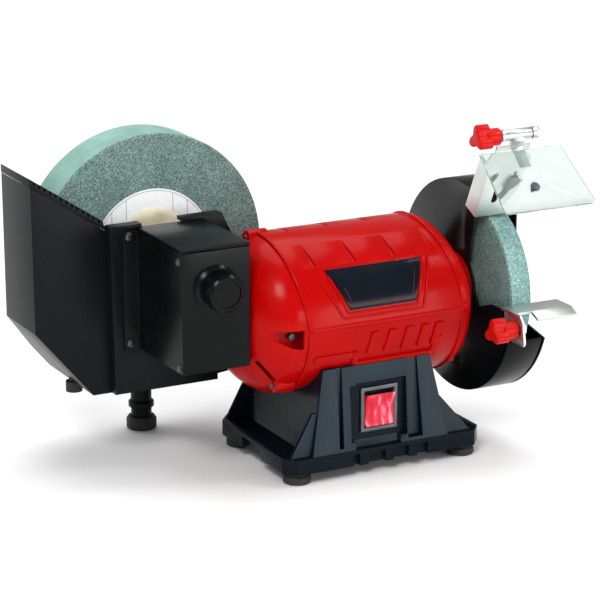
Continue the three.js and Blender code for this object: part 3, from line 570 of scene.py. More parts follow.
def make_finishes(colours):
    FINISHES.update({
        "red_paint": enamel(colours),
        "red_plastic": gloss_plastic("red_knob_plastic", tuple(colours.knob), 0.3),
        "black_plastic": moulded("black_moulded_plastic", tuple(colours.plastic)),
        "black_sheet": coated("black_coated_sheet", tuple(colours.sheet)),
        "grey_stone": stone("stone_face", tuple(colours.stone)),
        "wet_rim": stone("wet_stone_rim", (0.240, 0.415, 0.360), 0.22),
        "dry_rim": stone("dry_stone_rim", (0.215, 0.365, 0.345), 0.6, 900),
        # The base's other faces take half the base colour; its front faces take the full colour with a
        # paler grain lift, a painted sheen, and deeper texture bumps.
        "base_plastic": moulded("base_plastic", shade(tuple(colours.base), 0.5), 0.26, 0.03, 1.6, 0.1),
        "base_painted_sheen_face": moulded("base_textured_face_painted_sheen", tuple(colours.base), 0.44, 0.16, 2.2, 0.25),
        "steel": brushed("zinc_plated_steel", (0.66, 0.70, 0.67), 0.34),
        "dark_steel": brushed("blackened_steel", (0.10, 0.10, 0.11), 0.4),
        "copper": brushed("enamelled_copper", (0.60, 0.26, 0.12), 0.35),
        "bronze": brushed("sintered_bronze", (0.52, 0.36, 0.16), 0.4),
        "rubber": soft_rubber(),
        "plate_black": gloss_plastic("plate_gloss_black", (0.004, 0.006, 0.011), 0.14),
        "plate_line": gloss_plastic("plate_line", (0.10, 0.012, 0.03), 0.3),
        "label_ink": gloss_plastic("label_ink", (0.32, 0.35, 0.38), 0.5),
        "cream_plastic": cream_plastic(),
        "paper": label_paper(),
        "clear_plastic": clear_sheet(),
        "switch_frame": lit_plastic("switch_cover", (0.12, 0.13, 0.145), 0.35, 0.1),
        "switch_red": red_lens_with_painted_highlights(),
    })


# ---- Motor ----
def body_section(radius=BODY_RADIUS, crease=CREASE, steps=56):
    """Section of the housing as y, z points: round, with an edge along the front and the back."""
    start = math.degrees(math.acos(radius / crease))
    points = [(-crease, 0)]
    for i in range(steps + 1):
        turn = math.radians(start + (180 - 2 * start) * i / steps)
        points.append((-radius * math.cos(turn), radius * math.sin(turn)))
    points.append((crease, 0))
    for i in range(steps + 1):
        turn = math.radians(180 + start + (180 - 2 * start) * i / steps)
        points.append((-radius * math.cos(turn), radius * math.sin(turn)))
    return points


def left_edge(z):
    return -182 - 0.18 * max(z, 0)


def right_edge(z):
    return -41 - 0.04 * max(z, 0) - 0.0026 * max(z, 0) ** 2


class GRINDER_OT_motor_body(bpy.types.Operator):
    """Red housing round the motor, with its grooves, crease, plate surround and lower ribs"""
    bl_idname = "grinder.motor_body"
    bl_label = "Motor body"

    def execute(self, context):
        depth = context.scene.grinder_sizes.groove_depth / MM
        outer = [(0, y, z) for y, z in body_section()]
        body = extruded("motor_body_shell", outer, (1, 0, 0))
        for vertex in body.data.vertices:
            z = (vertex.co.z - ZERO.z) / MM
            edge = left_edge(z) if vertex.co.x < ZERO.x + 0.5 * MM else right_edge(z)
            vertex.co.x = ZERO.x + edge * MM
        core = rod("core", BODY_RADIUS - HOUSING_WALL, (-240, 0, 0), (10, 0, 0), 96)
        cut(body, core)
        for x in GROOVE_PLACES:
            tip = BODY_RADIUS - depth
            groove = turned(
                "groove", [(x + 0.6, tip), (x + 2.8, tip + 4.5), (x - 2.2, tip + 4.5)],
                (0, 0, 0), X, 40, 64)
            turn = Matrix.Rotation(math.radians(2), 4, X)
            groove.data.transform(
                Matrix.Translation(ZERO) @ turn @ Matrix.Translation(-ZERO))
            start, end = on_body(x - 1, 66, 0.4), on_body(x + 1, 45, 0.9)
            cut(body, groove, taper("scoop", 0.3, 2.5, start, end))
        eased(body, 0.5 * MM, 2, 24)
        done(body, "housing", "red_paint", "motor_body")

        crease = bead("housing_crease", [(-181, -CREASE + 1.5, 0.4), (-42, -CREASE + 1.5, 0.4)], 2.4)
        back = bead("back_crease", [(-182, CREASE - 0.4, 0), (-41, CREASE - 0.4, 0)], 1.5)
        lips = []
        for edge in (left_edge, right_edge):
            line = []
            for step in range(61):
                angle = -75 + 330 * step / 60
                z = BODY_RADIUS * math.sin(math.radians(angle))
                line.append(on_body(edge(z), angle, 0.1))
            lips.append(bead("lip", line, 1.25))
        trim = together("housing_edges", crease, back, *lips)
        done(smooth(trim, 50), "housing", "red_paint")

        ribs = [
            [(-148, 8.6), (-83.5, 8.6), (-71.5, 42)], [(-151, 5.6), (-78.5, 5.6), (-65.5, 42)],
            [(-160, 36), (-147.5, 9)], [(-168, 33), (-152, 6)],
        ]
        beads = []
        for line in ribs:
            points = []
            for (xa, aa), (xb, ab) in zip(line, line[1:]):
                points += [on_body(xa + (xb - xa) * k / 12, aa + (ab - aa) * k / 12, 0.1)
                           for k in range(13)]
            beads.append(bead("surround", points, 1.25))
        done(smooth(together("plate_surround", *beads), 50), "housing", "red_paint")

        pads = []
        for x in (-126, -110, -94, -79, -66):
            pads.append(self.pad([(x, -7), (x + 7, -7), (x + 4, -24), (x - 3, -24)], 2.2))
        pads.append(self.pad([(-176, -21), (-139, -21), (-139, -26), (-176, -26)], 1.8))
        pads.append(self.pad([(-142, -21), (-137, -21), (-133, -36), (-139, -36)], 2.4))
        pads.append(self.pad([(-137, -30), (-64, -30), (-64, -36), (-137, -36)], 2.6))
        pads.append(self.pad([(-66, -18), (-59, -18), (-60, -36), (-67, -36)], 2.3))
        lower = together("lower_ribs", *pads)
        done(eased(lower, 0.7 * MM, 3), "housing", "red_paint")
        return {"FINISHED"}

    def pad(self, corners, lift):
        middle = math.radians(sum(angle for _, angle in corners) / len(corners))
        way = (0, 5 * math.cos(middle), -5 * math.sin(middle))
        return extruded("pad", [on_body(x, angle, lift) for x, angle in corners], way)


class GRINDER_OT_end_bells(bpy.types.Operator):
    """Red end bells with their bosses, screw recess and vent slots"""
    bl_idname = "grinder.end_bells"
    bl_label = "End bells"

    def execute(self, context):
        top = BODY_RADIUS - 0.5
        left = turned("left_end_bell_cast", [
            (-176, top - 3), (-176, top), (-192, top), (-199, top - 2), (-206, top - 6.2),
            (-213, top - 11.6), (-219, top - 18), (-222.4, top - 23.5), (-223.7, top - 29),
            (-223.7, 16), (-230.6, 14.4), (-230.6, 9), (-220, 9), (-220, 34), (-212, 44),
            (-198, 57), (-190, top - 3.4)], (0, 0, 0), X, 120)
        recess = extruded("recess", [
            (-187, -90, 1.5), (-187, -90, -15), (-197, -90, -13), (-217, -90, -2.5), (-219, -90, 1.5)],
            (0, 38, 0))
        slots = []
        for shift in (0, -6):
            slots.append(extruded("slot", [
                (-219 + shift, -80, -27 + shift), (-217 + shift, -80, -25.6 + shift),
                (-201 + shift, -80, -45 + shift), (-203 + shift, -80, -46.4 + shift)], (0, 50, 0)))
        cut(left, recess, *slots)
        eased(left, 0.6 * MM, 2, 28)
        done(left, "housing", "red_paint", "left_end_bell")

        pocket = extruded("recess_floor", [
            (-183, -49, 3), (-183, -49, -17), (-198, -48, -14), (-220, -42, -2.5), (-220, -42, 3)],
            (0, -5, 0))
        bosses = [eased(pocket, 0.4 * MM)]
        for angle, x in ((97, -190), (-52, -190), (215, -190)):
            y, z = on_body(0, angle, -3.5)[1:]
            ear = rod("ear", 6.2, (x - 12, y, z), (x + 6, y, z), 48)
            bosses.append(eased(ear, 1.0 * MM, 3))
        done(together("left_bell_bosses", *bosses), "housing", "red_paint")

        screws = [eased(rod("screw", 2.6, (-204, y, z), (-201.5, y, z), 24), 0.4 * MM)
                  for y, z in [on_body(0, angle, -3.5)[1:] for angle in (97, -52, 215)]]
        screws.append(eased(rod("screw", 3.2, (-193, -56, -6), (-193, -52.4, -6), 24), 0.5 * MM))
        done(together("left_bell_screws", *screws), "housing", "dark_steel")

        right = turned("right_end_bell_cast", [
            (-56, top - 3), (-56, top), (-37, top), (-33.5, top - 1), (-30.8, top - 3.5),
            (-29.5, top - 7.5), (-29.5, 31), (-9.2, 29), (-9.2, 17.8), (-34, 17.8), (-34, 50),
            (-37, top - 3.4)], (0, 0, 0), X, 120)
        for vertex in right.data.vertices:
            z = (vertex.co.z - ZERO.z) / MM
            radius = math.hypot(vertex.co.y - ZERO.y, vertex.co.z - ZERO.z) / MM
            share = min(max((radius - 30) / 30, 0), 1)
            vertex.co.x += (right_edge(z) - right_edge(0)) * share * MM
        eased(right, 0.8 * MM, 3, 28)
        lugs = []
        for angle in (50, 2, -48, 128, 178, 232):
            y, z = on_body(0, angle, -1.2)[1:]
            edge = right_edge(z)
            lug = rod("lug", 3.0, (edge - 1, y, z), (edge + 4.5, y, z), 40)
            lugs.append(eased(lug, 0.7 * MM, 3))
        done(right, "housing", "red_paint", "right_end_bell")
        done(together("right_bell_lugs", *lugs), "housing", "red_paint")
        return {"FINISHED"}


class GRINDER_OT_name_plate(bpy.types.Operator):
    """Blank black plate on the upper front of the housing, with a thin border line"""
    bl_idname = "grinder.name_plate"
    bl_label = "Name plate"

    def execute(self, context):
        left, right = (-161.5, -145.4), (-72.8, -85.3)
        top, bottom = 41, 11
        clear_selection()
        bpy.ops.mesh.primitive_grid_add(x_subdivisions=24, y_subdivisions=12, size=2)
        plate = placed("plate_skin")
        for vertex in plate.data.vertices:
            share, down = (1 + vertex.co.x) / 2, (1 - vertex.co.y) / 2
            start = left[0] + (left[1] - left[0]) * down
            end = right[0] + (right[1] - right[0]) * down
            vertex.co = at(*on_body(start + (end - start) * share, top + (bottom - top) * down, 1.3))
        close_up(plate)
        if plate.data.polygons[0].normal.y > 0:
            start_editing(plate)
            bpy.ops.mesh.flip_normals()
            stop_editing()
        use_modifier(plate, "SOLIDIFY", thickness=1.1 * MM, offset=-1)
        eased(plate, 0.3 * MM, 2)
        done(plate, "housing", "plate_black", "name_plate")

        line = []
        for (xa, aa), (xb, ab) in (((-148.6, 27), (-142.8, 14)), ((-142.8, 14), (-88, 14)),
                                   ((-88, 14), (-82, 33))):
            line += [on_body(xa + (xb - xa) * k / 8, aa + (ab - aa) * k / 8, 1.35) for k in range(9)]
        border = bead("plate_border", line, 0.32)
        done(smooth(border, 60), "housing", "plate_black", finish="plate_line")
        return {"FINISHED"}


# ---- Wet side ----
class GRINDER_OT_gear_box(bpy.types.Operator):
    """Folded gear box with its lid, shaft boss and screws"""
    bl_idname = "grinder.gear_box"
    bl_label = "Gear box"

    def execute(self, context):
        shell = block("gear_box_shell", -283.5, -224, -43, 41.7, -28.5, 70.8)
        flange = block("flange", -296.5, -283, 39.9, 41.7, -28.5, 70.8)
        fused(shell, flange)
        eased(shell, 1.4 * MM, 3)
        done(shell, "housing", "black_sheet", "gearbox_cover")

        boss = turned("gear_box_boss", [
            (-42.5, 0), (-42.5, 19), (-44.2, 19), (-45.2, 17.6), (-47, 15.9), (-60, 15.4),
            (-63.4, 15.2), (-64.8, 13.6), (-64.8, 11.4), (-63.6, 11), (-63.6, 0)],
            (WET_X, 0, WET_Z), Y, 72)
        done(smooth(boss, 40), "housing", "black_sheet")

        lid = block("gear_box_lid", -284.3, -223.4, -44, 41.6, 71.1, 74)
        eased(lid, 1.1 * MM, 3)
        done(lid, "housing", "black_sheet", "gearbox_lid")

        heads = []
        for x, z in ((-291.5, 66.8), (-291.5, -22.5)):
            head = turned("head", [
                (0, 0), (0, 3.6), (-1.4, 3.3), (-2.2, 1.8), (-2.3, 1.4), (-1.2, 1.3), (-1.2, 0)],
                (x, 39.8, z), Y, 32)
            heads.append(smooth(head, 40))
        for z in (62.8, -24.5):
            head = turned("head", [(0, 0), (0, 3.2), (-1.2, 2.9), (-1.9, 1.6), (-1.9, 0)],
                          (-283.5, -36, z), X, 32)
            heads.append(smooth(head, 40))
        done(together("gear_box_screws", *heads), "housing", "steel",
             "gearbox_screw_1", "gearbox_screw_2", finish="dark_steel")
        return {"FINISHED"}


class GRINDER_OT_water_tank(bpy.types.Operator):
    """Carrier plate, water tank, ribbed wet rest and the post under the tank"""
    bl_idname = "grinder.water_tank"
    bl_label = "Water tank"

    def execute(self, context):
        width = context.scene.grinder_sizes.edge_round
        tank = refined("water_tank", "water_tank_moulding", width * 0.7, 3)
        done(tank, "housing", "black_plastic", "water_tank")
        carrier = refined("carrier_plate", "carrier_moulding", width * 0.6, 3)
        done(carrier, "housing", "black_plastic", "carrier_plate")
        rest = refined("wet_tool_rest", "ribbed_wet_rest", 0.35 * MM, 2)
        done(rest, "housing", "black_plastic", "wet_tool_rest")

        back = (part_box("support_post")[0].y - ZERO.y) / MM + 9
        floor = (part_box("support_post")[1].z - ZERO.z) / MM
        post = turned("tank_post", [
            (FLOOR + 3, 0), (FLOOR + 3, 8.6), (FLOOR + 18, 8.9), (FLOOR + 20, 11), (FLOOR + 24, 11),
            (FLOOR + 26, 9), (floor - 8, 9), (floor - 5, 12.6), (floor, 12.6), (floor, 0)],
            (POST_X, back, 0), Z, 56)
        done(smooth(post, 40), "housing", "black_plastic", "support_post")
        foot = turned("tank_post_foot", [
            (FLOOR, 0), (FLOOR, 11.6), (FLOOR + 1.4, 13), (FLOOR + 8.5, 13), (FLOOR + 11, 11.4),
            (FLOOR + 11, 9.2), (FLOOR + 2.8, 9.2), (FLOOR + 2.8, 0)], (POST_X, back, 0), Z, 56)
        done(smooth(foot, 40), "housing", "rubber", "post_foot")
        return {"FINISHED"}


def paint_rim(wheel, axis, rim):
    """Gives the round faces of a wheel the rim finish."""
    wheel.data.materials.append(rim)
    for face in wheel.data.polygons:
        if abs(face.normal.dot(axis)) < 0.5:
            face.material_index = 1


class GRINDER_OT_wheels(bpy.types.Operator):
    """Both grinding stones with their flanges, the wet stone's label and its nut"""
    bl_idname = "grinder.wheels"
    bl_label = "Grinding stones"

    def execute(self, context):
        chamfer = context.scene.grinder_sizes.stone_chamfer / MM
        face = FINISHES["grey_stone"]
        wet = turned("wet_stone", [
            (WET_FRONT, WET_BORE), (WET_FRONT, WET_RADIUS - chamfer),
            (WET_FRONT + chamfer, WET_RADIUS), (WET_BACK - chamfer, WET_RADIUS),
            (WET_BACK, WET_RADIUS - chamfer), (WET_BACK, WET_BORE)], (WET_X, 0, WET_Z), Y, 192)
        wet.data.materials.append(face)
        paint_rim(wet, Y, FINISHES["wet_rim"])
        done(smooth(wet, 20), "wet_spindle", "grey_stone", "wet_wheel")

        label = turned("wet_label_disc", [
            (77.2, WET_BORE), (77.2, LABEL_RADIUS - 0.4), (77.45, LABEL_RADIUS), (77.7, LABEL_RADIUS),
            (77.7, WET_BORE)],
            (WET_X, 0, WET_Z), Y, 120)
        done(smooth(label, 40), "wet_spindle", "paper", "wet_label")
        lines = []
        for x in (-36, -23, 19, 32):
            tall = math.sqrt((LABEL_INK_RADIUS - 0.1) ** 2 - x ** 2)
            lines += [block("line", WET_X + x - 0.25, WET_X + x + 0.25, 77.1, 77.25, WET_Z + z0, WET_Z + z1)
                      for z0, z1 in ((-tall, -4), (4, tall))]
        inner, outer = LABEL_INK_RADIUS - 0.5, LABEL_INK_RADIUS
        printed = turned("line", [(77.1, inner), (77.1, outer), (77.25, outer), (77.25, inner)],
                         (WET_X, 0, WET_Z), Y, 96)
        rules = together("label_rules", printed, *lines)
        done(rules, "wet_spindle", "paper", finish="label_ink")
        flange = turned("wet_flange_cup", [
            (73.7, WET_BORE), (73.7, 31), (74.2, 34), (75.2, 36.6), (76.2, WET_FLANGE_RADIUS),
            (76.9, WET_FLANGE_RADIUS), (76.9, WET_BORE)],
            (WET_X, 0, WET_Z), Y, 96)
        done(smooth(flange, 40), "wet_spindle", "cream_plastic", "wet_flange_front")
        rear = turned("wet_flange_rear_cup", [
            (118.3, WET_BORE), (118.3, WET_FLANGE_RADIUS), (119.4, WET_FLANGE_RADIUS), (120.6, 36),
            (122.3, 33), (122.3, WET_BORE)],
            (WET_X, 0, WET_Z), Y, 96)
        done(smooth(rear, 40), "wet_spindle", "cream_plastic", "wet_flange_rear")
        nut = refined("wet_nut", "wet_wheel_nut", 0.8 * MM, 2)
        done(nut, "wet_spindle", "steel", "wet_nut")

        dry = turned("dry_stone", [
            (0, DRY_BORE), (0, DRY_RADIUS - chamfer), (chamfer, DRY_RADIUS),
            (DRY_WIDTH - chamfer, DRY_RADIUS), (DRY_WIDTH, DRY_RADIUS - chamfer), (DRY_WIDTH, DRY_BORE)],
            (0, 0, 0), X, 168)
        dry.data.materials.append(face)
        paint_rim(dry, X, FINISHES["dry_rim"])
        done(smooth(dry, 20), "motor_rotor", "grey_stone", "dry_wheel")
        for name, node, low, high in (("dry_flange_left", "dry_flange_inner", -4.3, -0.3),
                                      ("dry_flange_right", "dry_flange_outer", 20.3, 24.3)):
            ring = turned(name, [
                (low, DRY_BORE), (low, 24.5), (low + 1, 26), (high - 1, 26), (high, 25), (high, DRY_BORE)],
                (0, 0, 0), X, 72)
            done(smooth(ring, 40), "motor_rotor", "steel", node)
        return {"FINISHED"}


# ---- Base ----
class GRINDER_OT_base(bpy.types.Operator):
    """Moulded base with its rubber feet and cable gland"""
    bl_idname = "grinder.base"
    bl_label = "Base"

    def execute(self, context):
        width = context.scene.grinder_sizes.edge_round
        base = refined("base_housing", "base_moulding", width, 3)
        cut(base, block("recess", -143, -130, -72, -56.8, -101, -53.5),
            block("recess", -139, -97, -72, -57.6, -107.4, -99))
        for finish in ("base_plastic", "base_painted_sheen_face"):
            base.data.materials.append(FINISHES[finish])
        for face in base.data.polygons:
            y, z = (face.center.y - ZERO.y) / MM, (face.center.z - ZERO.z) / MM
            # Front faces of the base take the lighter finish, a painted sheen.
            if face.normal.y < -0.985 and y < -57 and z > -106:
                face.material_index = 1
        smooth(base)
        done(base, "housing", "black_plastic", "base_housing")
        for node in ("foot_front_left", "foot_front_right", "foot_back_left", "foot_back_right"):
            low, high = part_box(node)
            x, y = ((low.x + high.x) / 2 - ZERO.x) / MM, ((low.y + high.y) / 2 - ZERO.y) / MM
            foot = turned(node + "_pad", [
                (FLOOR, 0), (FLOOR, 10), (FLOOR + 1.2, 11.5), (FLOOR + 5, 11.5), (FLOOR + 6.6, 10.6),
                (FLOOR + 7.2, 9.4), (FLOOR + 9.6, 9.4), (FLOOR + 9.6, 0)], (x, y, 0), Z, 56)
            done(smooth(foot, 40), "housing", "rubber", node)
        gland = turned("cord_gland_boot", [
            (54, 3.6), (54, 6), (64, 6), (64, 8), (65, 9), (71, 8.4), (72, 7.4), (72, 3.6)],
            (-114, 0, -84), Y, 48)
        done(smooth(gland, 40), "housing", "rubber", "cord_gland")
        return {"FINISHED"}


class GRINDER_OT_switch(bpy.types.Operator):
    """Rocker switch with its smoked cover frame"""
    bl_idname = "grinder.switch"
    bl_label = "Switch"

    def execute(self, context):
        x, z, front = SWITCH_X, SWITCH_Z, SWITCH_FRONT
        collar = block("switch_cover_frame", x - 17, x + 17, front, front + 1.8, z - 19, z + 19)
        well = block("well", x - 13.8, x + 13.8, -62, -50, z - 15.8, z + 15.8)
        cut(collar, well)
        eased(collar, 0.7 * MM, 3)
        sleeve = block("sleeve", x - 15, x + 15, -57.4, -40, z - 17, z + 17)
        cut(sleeve, block("well", x - 13.8, x + 13.8, -62, -46, z - 15.8, z + 15.8))
        cover = together("switch_cover_frame", collar, sleeve)
        done(cover, "housing", "switch_frame", "switch_frame")
        rocker = extruded("rocker_paddle", [
            (x - 13.4, -62.4, z + 13.4), (x - 13.4, -60.2, z + 7), (x - 13.4, -58.9, z),
            (x - 13.4, -58.9, z - 8), (x - 13.4, -60, z - 14.8), (x - 13.4, -50, z - 9),
            (x - 13.4, -47, z), (x - 13.4, -50, z + 9)], (26.8, 0, 0))
        eased(rocker, 0.8 * MM, 3, 25)
        done(rocker, "switch_rocker", "switch_red", "switch_rocker")
        return {"FINISHED"}


# ---- Dry side ----
def arc(radius, first, last, steps=90):
    """Points y, z on an arc about the motor axis, its angles from the back horizontal."""
    turns = [math.radians(first + (last - first) * k / steps) for k in range(steps + 1)]
    return [(radius * math.cos(turn), radius * math.sin(turn)) for turn in turns]


class GRINDER_OT_guard(bpy.types.Operator):
    """Sheet guard round the dry wheel with its dished cover"""
    bl_idname = "grinder.guard"
    bl_label = "Wheel guard"

    def execute(self, context):
        ease = context.scene.grinder_sizes.sheet_round
        radius, sheet = GUARD_RADIUS, GUARD_SHEET
        left = GUARD_LEFT
        line = arc(radius, -161, 117)
        disc_cut = [(-28, 64), (-22, 42), (-21, 20), (-38, -10), (-58, -3), (-106, -3), (-106, -23)]
        disc = extruded("guard_side", [(left, y, z) for y, z in line + disc_cut], (sheet, 0, 0))
        cut(disc, rod("hole", 12, (left - 3, 0, 0), (left + 5, 0, 0), 64),
            rod("hole", BOLT_BORE, (left - 3, *REST_BOLT), (left + 5, *REST_BOLT), 32))
        eased(disc, ease, 2)
        band = line + list(reversed(arc(radius - sheet, -161, 117)))
        rim = extruded("guard_rim", [(left + 0.2, y, z) for y, z in band], (33, 0, 0))
        eased(rim, ease, 2)
        tab = in_plane("tab", PLATE, left, GUARD_RIGHT - 3, 9, 52, -3.4, -1.3)
        body = together("guard_shell", disc, rim, eased(tab, ease, 2))
        done(body, "housing", "black_sheet", "guard_body")

        right = GUARD_RIGHT
        cover_cut = [(-38, 72), (-38, 0), (-58, -24)]
        flat = extruded("cover", [(right - sheet, y, z) for y, z in line + cover_cut], (sheet, 0, 0))
        cut(flat, rod("well", 43, (right - 4, 0, 0), (right + 3, 0, 0), 96))
        eased(flat, ease, 2)
        dish = turned("dish", [
            (right - 1.2, 43.2), (right + 0.2, 46), (right + 8, 40), (right + 9.5, 38), (right + 9.5, 0),
            (right + 8, 0), (right + 8, 37), (right + 6.8, 38.6)], (0, 0, 0), X, 96)
        cover = together("guard_dished_cover", flat, smooth(dish, 40))
        done(cover, "housing", "black_sheet", "guard_cover")
        return {"FINISHED"}


PLATE_TOP = math.hypot(35.6, 75)
PLATE_UP = Vector((0, -35.6, 75)).normalized()
PLATE = (Vector((0, -38, 68)), PLATE_UP, X.cross(PLATE_UP))
SHIELD_DOWN = Vector((0, -math.cos(math.radians(44.3)), -math.sin(math.radians(44.3))))
SHIELD = (Vector((0, -80, 132)), SHIELD_DOWN, X.cross(SHIELD_DOWN))
ROD_PLACE = (-73.6, 143)


def plane_point(plane, x, along, out):
    origin, up, normal = plane
    return origin + X * x + up * along + normal * out


def in_plane(name, plane, x0, x1, s0, s1, t0, t1):
    corners = [plane_point(plane, x, s, t0) for x, s in ((x0, s0), (x1, s0), (x1, s1), (x0, s1))]
    return extruded(name, corners, plane[2] * (t1 - t0))


def plane_rod(name, plane, radius, x, along, t0, t1, sides=32):
    return rod(name, radius, plane_point(plane, x, along, t0), plane_point(plane, x, along, t1), sides)


class GRINDER_OT_spark_plate(bpy.types.Operator):
    """Slotted spark plate with its rod eyes and clamping screws"""
    bl_idname = "grinder.spark_plate"
    bl_label = "Spark plate"

    def execute(self, context):
        ease = context.scene.grinder_sizes.sheet_round
        outline = [(-14, 0), (22, 0), (25, 52), (23.5, 55), (19, 60), (19, 72), (-13, 72), (-13, 60),
                   (-14, 54)]
        sheet = extruded("spark_sheet", [plane_point(PLATE, x, s, -0.75) for x, s in outline],
                         PLATE[2] * 1.5)
        wing = in_plane("wing", PLATE, -14, -12.5, 0, 54, -16, 0.75)
        fused(sheet, wing)
        for x in SLOT_PLACES:
            cut(sheet, in_plane("slot", PLATE, x - 2.6, x + 2.6, 16, 40, -4, 4),
                plane_rod("slot", PLATE, 2.6, x, 16, -4, 4), plane_rod("slot", PLATE, 2.6, x, 40, -4, 4))
        cut(sheet, in_plane("vent", PLATE, -8, 4, 65.5, 67.5, -4, 4))
        y, z = ROD_PLACE
        for x0, x1 in ((-13, -10), (16, 19)):
            arm = in_plane("arm", PLATE, x0, x1, 70, PLATE_TOP, -0.75, 0.75)
            fused(sheet, arm, rod("eye", 5.2, (x0, y, z), (x1, y, z), 48))
        cut(sheet, rod("bore", BOLT_BORE, (-30, y, z), (40, y, z), 40))
        eased(sheet, ease, 2)
        done(sheet, "spark_bracket", "steel", "spark_plate")

        for i, x in enumerate(SLOT_PLACES):
            head = plane_rod("head", PLATE, 4.4, x, 32, 1.05, 3.75, 6)
            stem = plane_rod("stem", PLATE, 2.0, x, 32, -7, 2, 24)
            screw = together("spark_clamp_screw_%d" % (i + 1), eased(head, 0.5 * MM, 2), stem)
            done(smooth(screw), "housing", "dark_steel", "spark_screw_%d" % (i + 1))
        return {"FINISHED"}



def lobed_knob(name, x0, x1, y, z):
    """Three-lobed knob about an axis along X, with a hub and a sunk face."""
    points = []
    for k in range(96):
        turn = 2 * math.pi * k / 96
        radius = 8.6 + 2.9 * math.cos(3 * (turn - math.radians(90)))
        points.append((x0, y + radius * math.cos(turn), z + radius * math.sin(turn)))
    stem = x0 + 0.55 * (x1 - x0)
    grip = extruded(name, points, (stem - x0, 0, 0))
    eased(grip, 1.5 * MM, 4)
    hub = rod("hub", 7.2, (stem - 3, y, z), (x1, y, z), 48)
    cut(hub, rod("bore", BOLT_BORE, (stem - 2, y, z), (x1 + 1, y, z), 40))
    cut(grip, rod("bore", BOLT_BORE, (x0 + 4, y, z), (x1 + 1, y, z), 40))
    return together(name, grip, eased(hub, 0.6 * MM, 3))


class GRINDER_OT_eye_shield(bpy.types.Operator):
    """Clear eye shield on its rod, with its strap, screw and knob"""
    bl_idname = "grinder.eye_shield"
    bl_label = "Eye shield"

    def execute(self, context):
        ease = context.scene.grinder_sizes.sheet_round
        y, z = ROD_PLACE
        bar = rod("bar", 3, (-33, y, z), (22, y, z), 48)
        head = rod("head", 5.5, (19.3, y, z), (22.5, y, z), 6)
        bar = together("shield_hinge_rod", eased(bar, 0.5 * MM), eased(head, 0.5 * MM))
        done(bar, "spark_bracket", "steel", "shield_rod")

        sleeve = rod("sleeve", 4.8, (-9.5, y, z), (15.5, y, z), 48)
        arm = in_plane("arm", SHIELD, -3, 7, -9, 16, 2.3, 3.8)
        neck = in_plane("neck", SHIELD, -3, 7, -9, -4.5, -5, 3.8)
        fused(sleeve, arm, neck)
        cut(sleeve, rod("bore", BOLT_BORE, (-30, y, z), (40, y, z), 40))
        eased(sleeve, ease, 2)
        done(sleeve, "shield", "steel", "shield_strap")

        outline = [(-36, 0), (41, 0), (50, 56), (48, 58), (-34, 58), (-36, 56)]
        pane = extruded("shield_pane", [plane_point(SHIELD, x, s, 0) for x, s in outline],
                        SHIELD[2] * 2)
        cut(pane, plane_rod("hole", SHIELD, 2.3, 0, 37, -3, 5))
        eased(pane, ease, 2)
        done(pane, "shield", "clear_plastic", "eye_shield")

        head = plane_rod("head", SHIELD, 4, 0, 37, -2.2, -0.3, 32)
        stem = plane_rod("stem", SHIELD, 2, 0, 37, -1, 6, 24)
        screw = together("shield_clamp_screw", eased(head, 0.6 * MM, 3), smooth(stem))
        done(screw, "shield", "dark_steel", "shield_screw")

        knob = lobed_knob("shield_clamp_knob", -36.5, -15, y, z)
        done(knob, "shield_knob", "red_plastic", "shield_knob")
        return {"FINISHED"}


class GRINDER_OT_tool_rest(bpy.types.Operator):
    """Folded steel tool rest with its clamping knob"""
    bl_idname = "grinder.tool_rest"
    bl_label = "Tool rest"

    def execute(self, context):
        ease = context.scene.grinder_sizes.sheet_round
        rest = refined("tool_rest", "dry_tool_rest", ease, 2)
        done(rest, "tool_rest", "steel", "tool_rest")
        left = GUARD_LEFT - 0.3 - 2
        knob = lobed_knob("rest_clamp_knob", left - 23, left - 0.5, *REST_BOLT)
        done(knob, "rest_knob", "red_plastic", "rest_knob")
        return {"FINISHED"}


class GRINDER_OT_carried_pieces(bpy.types.Operator):
    """Finishes for the CAD pieces that stay as they are"""
    bl_idname = "grinder.carried_pieces"
    bl_label = "Carried pieces"

    def execute(self, context):
        slots = {row["node"]: row["material_slot"] for row in frame["record"]["subparts"]}
        for name, node in frame["nodes"].items():
            node.data.materials.clear()
            node.data.materials.append(FINISHES[slots[name]])
        return {"FINISHED"}


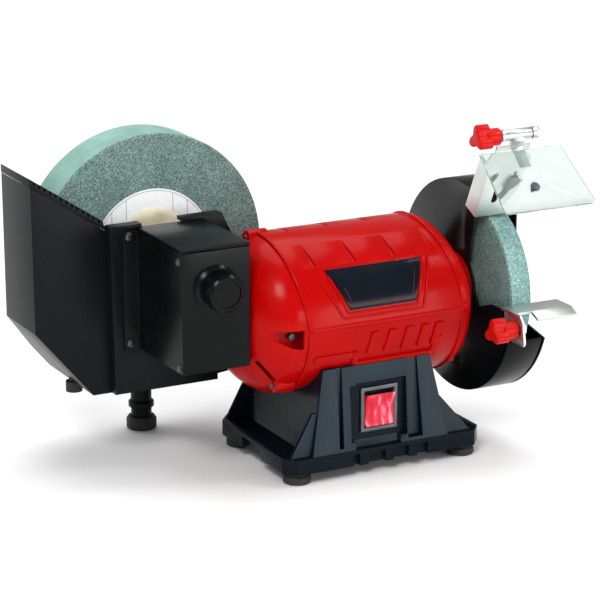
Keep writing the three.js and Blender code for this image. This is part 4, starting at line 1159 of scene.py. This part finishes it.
class GRINDER_OT_stage(bpy.types.Operator):
    """Pale floor, soft studio light and the camera"""
    bl_idname = "grinder.stage"
    bl_label = "Stage"

    def execute(self, context):
        clear_selection()
        bpy.ops.mesh.primitive_plane_add(size=40, location=(0, 0, 0))
        floor = placed("studio_floor")
        paint = Finish("studio_paint", (0.93, 0.93, 0.93), 0.85)
        paint.colour(paint.tones(paint.noise(2, 2), [(0.3, (0.92, 0.92, 0.92)), (0.7, (0.94, 0.94, 0.94))]))
        floor.data.materials.append(paint.material)

        world = bpy.data.worlds.new("studio")
        context.scene.world = world
        world.use_nodes = True
        world.node_tree.nodes["Background"].inputs["Color"].default_value = (1, 1, 1, 1)
        world.node_tree.nodes["Background"].inputs["Strength"].default_value = 0.4
        self.softbox("key", (-1.3, -1.5, 1.8), (0.7, 0.7), 34)
        self.softbox("front", (1.1, -2.1, 0.34), (1.6, 0.45), 17)
        self.softbox("back", (-1.5, 1.9, 0.6), (1.0, 1.0), 12)
        self.softbox("side", (1.7, -0.9, 2.0), (0.5, 0.5), 14)
        bpy.ops.object.light_add(type="SUN", location=(0, 0, 3), rotation=(-0.25, 0.1, 0))
        sky = context.object
        sky.name = "ceiling_light"
        sky.data.energy = 1.9
        sky.data.angle = math.radians(50)

        clear_selection()
        bpy.ops.object.camera_add(location=at(-1117, -1829, 606))
        camera = context.object
        way = Vector((0.4464, 0.8503, -0.2790))
        camera.rotation_euler = way.to_track_quat("-Z", "Y").to_euler()
        camera.data.lens = 157.2
        camera.data.sensor_width = 36
        camera.data.clip_start = 0.05
        context.scene.camera = camera
        context.scene.view_settings.view_transform = "Standard"
        return {"FINISHED"}

    def softbox(self, name, place, size, power):
        clear_selection()
        place = Vector(place)
        bpy.ops.object.light_add(type="AREA", location=place)
        lamp = bpy.context.object
        lamp.name = name + "_softbox"
        lamp.data.shape = "RECTANGLE"
        lamp.data.size, lamp.data.size_y = size
        lamp.data.energy = power
        lamp.rotation_euler = (Vector((0, 0, 0.12)) - place).to_track_quat("-Z", "Y").to_euler()


# ---- Panel and registration ----
PIECES = (
    GRINDER_OT_motor_body, GRINDER_OT_end_bells, GRINDER_OT_name_plate, GRINDER_OT_gear_box,
    GRINDER_OT_water_tank, GRINDER_OT_wheels, GRINDER_OT_base, GRINDER_OT_switch, GRINDER_OT_guard,
    GRINDER_OT_spark_plate, GRINDER_OT_eye_shield, GRINDER_OT_tool_rest, GRINDER_OT_carried_pieces,
    GRINDER_OT_stage,
)


class GRINDER_PT_panel(bpy.types.Panel):
    """Sizes, colours and pieces of the grinder"""
    bl_idname = "GRINDER_PT_panel"
    bl_label = "Bench grinder"
    bl_space_type = "VIEW_3D"
    bl_region_type = "UI"
    bl_category = "Grinder"

    def draw(self, context):
        for group in (context.scene.grinder_sizes, context.scene.grinder_colours):
            for name in group.__annotations__:
                self.layout.prop(group, name)
        for piece in PIECES:
            self.layout.operator(piece.bl_idname)


CLASSES = (GrinderSizes, GrinderColours, *PIECES, GRINDER_PT_panel)


def register():
    for item in CLASSES:
        bpy.utils.register_class(item)
    bpy.types.Scene.grinder_sizes = bpy.props.PointerProperty(type=GrinderSizes)
    bpy.types.Scene.grinder_colours = bpy.props.PointerProperty(type=GrinderColours)


def unregister():
    del bpy.types.Scene.grinder_colours
    del bpy.types.Scene.grinder_sizes
    for item in reversed(CLASSES):
        bpy.utils.unregister_class(item)


def main():
    register()
    make_finishes(bpy.context.scene.grinder_colours)
    for piece in PIECES:
        group, operator = piece.bl_idname.split(".")
        getattr(getattr(bpy.ops, group), operator)()
    clear_selection()


if __name__ == "__main__":
    main()
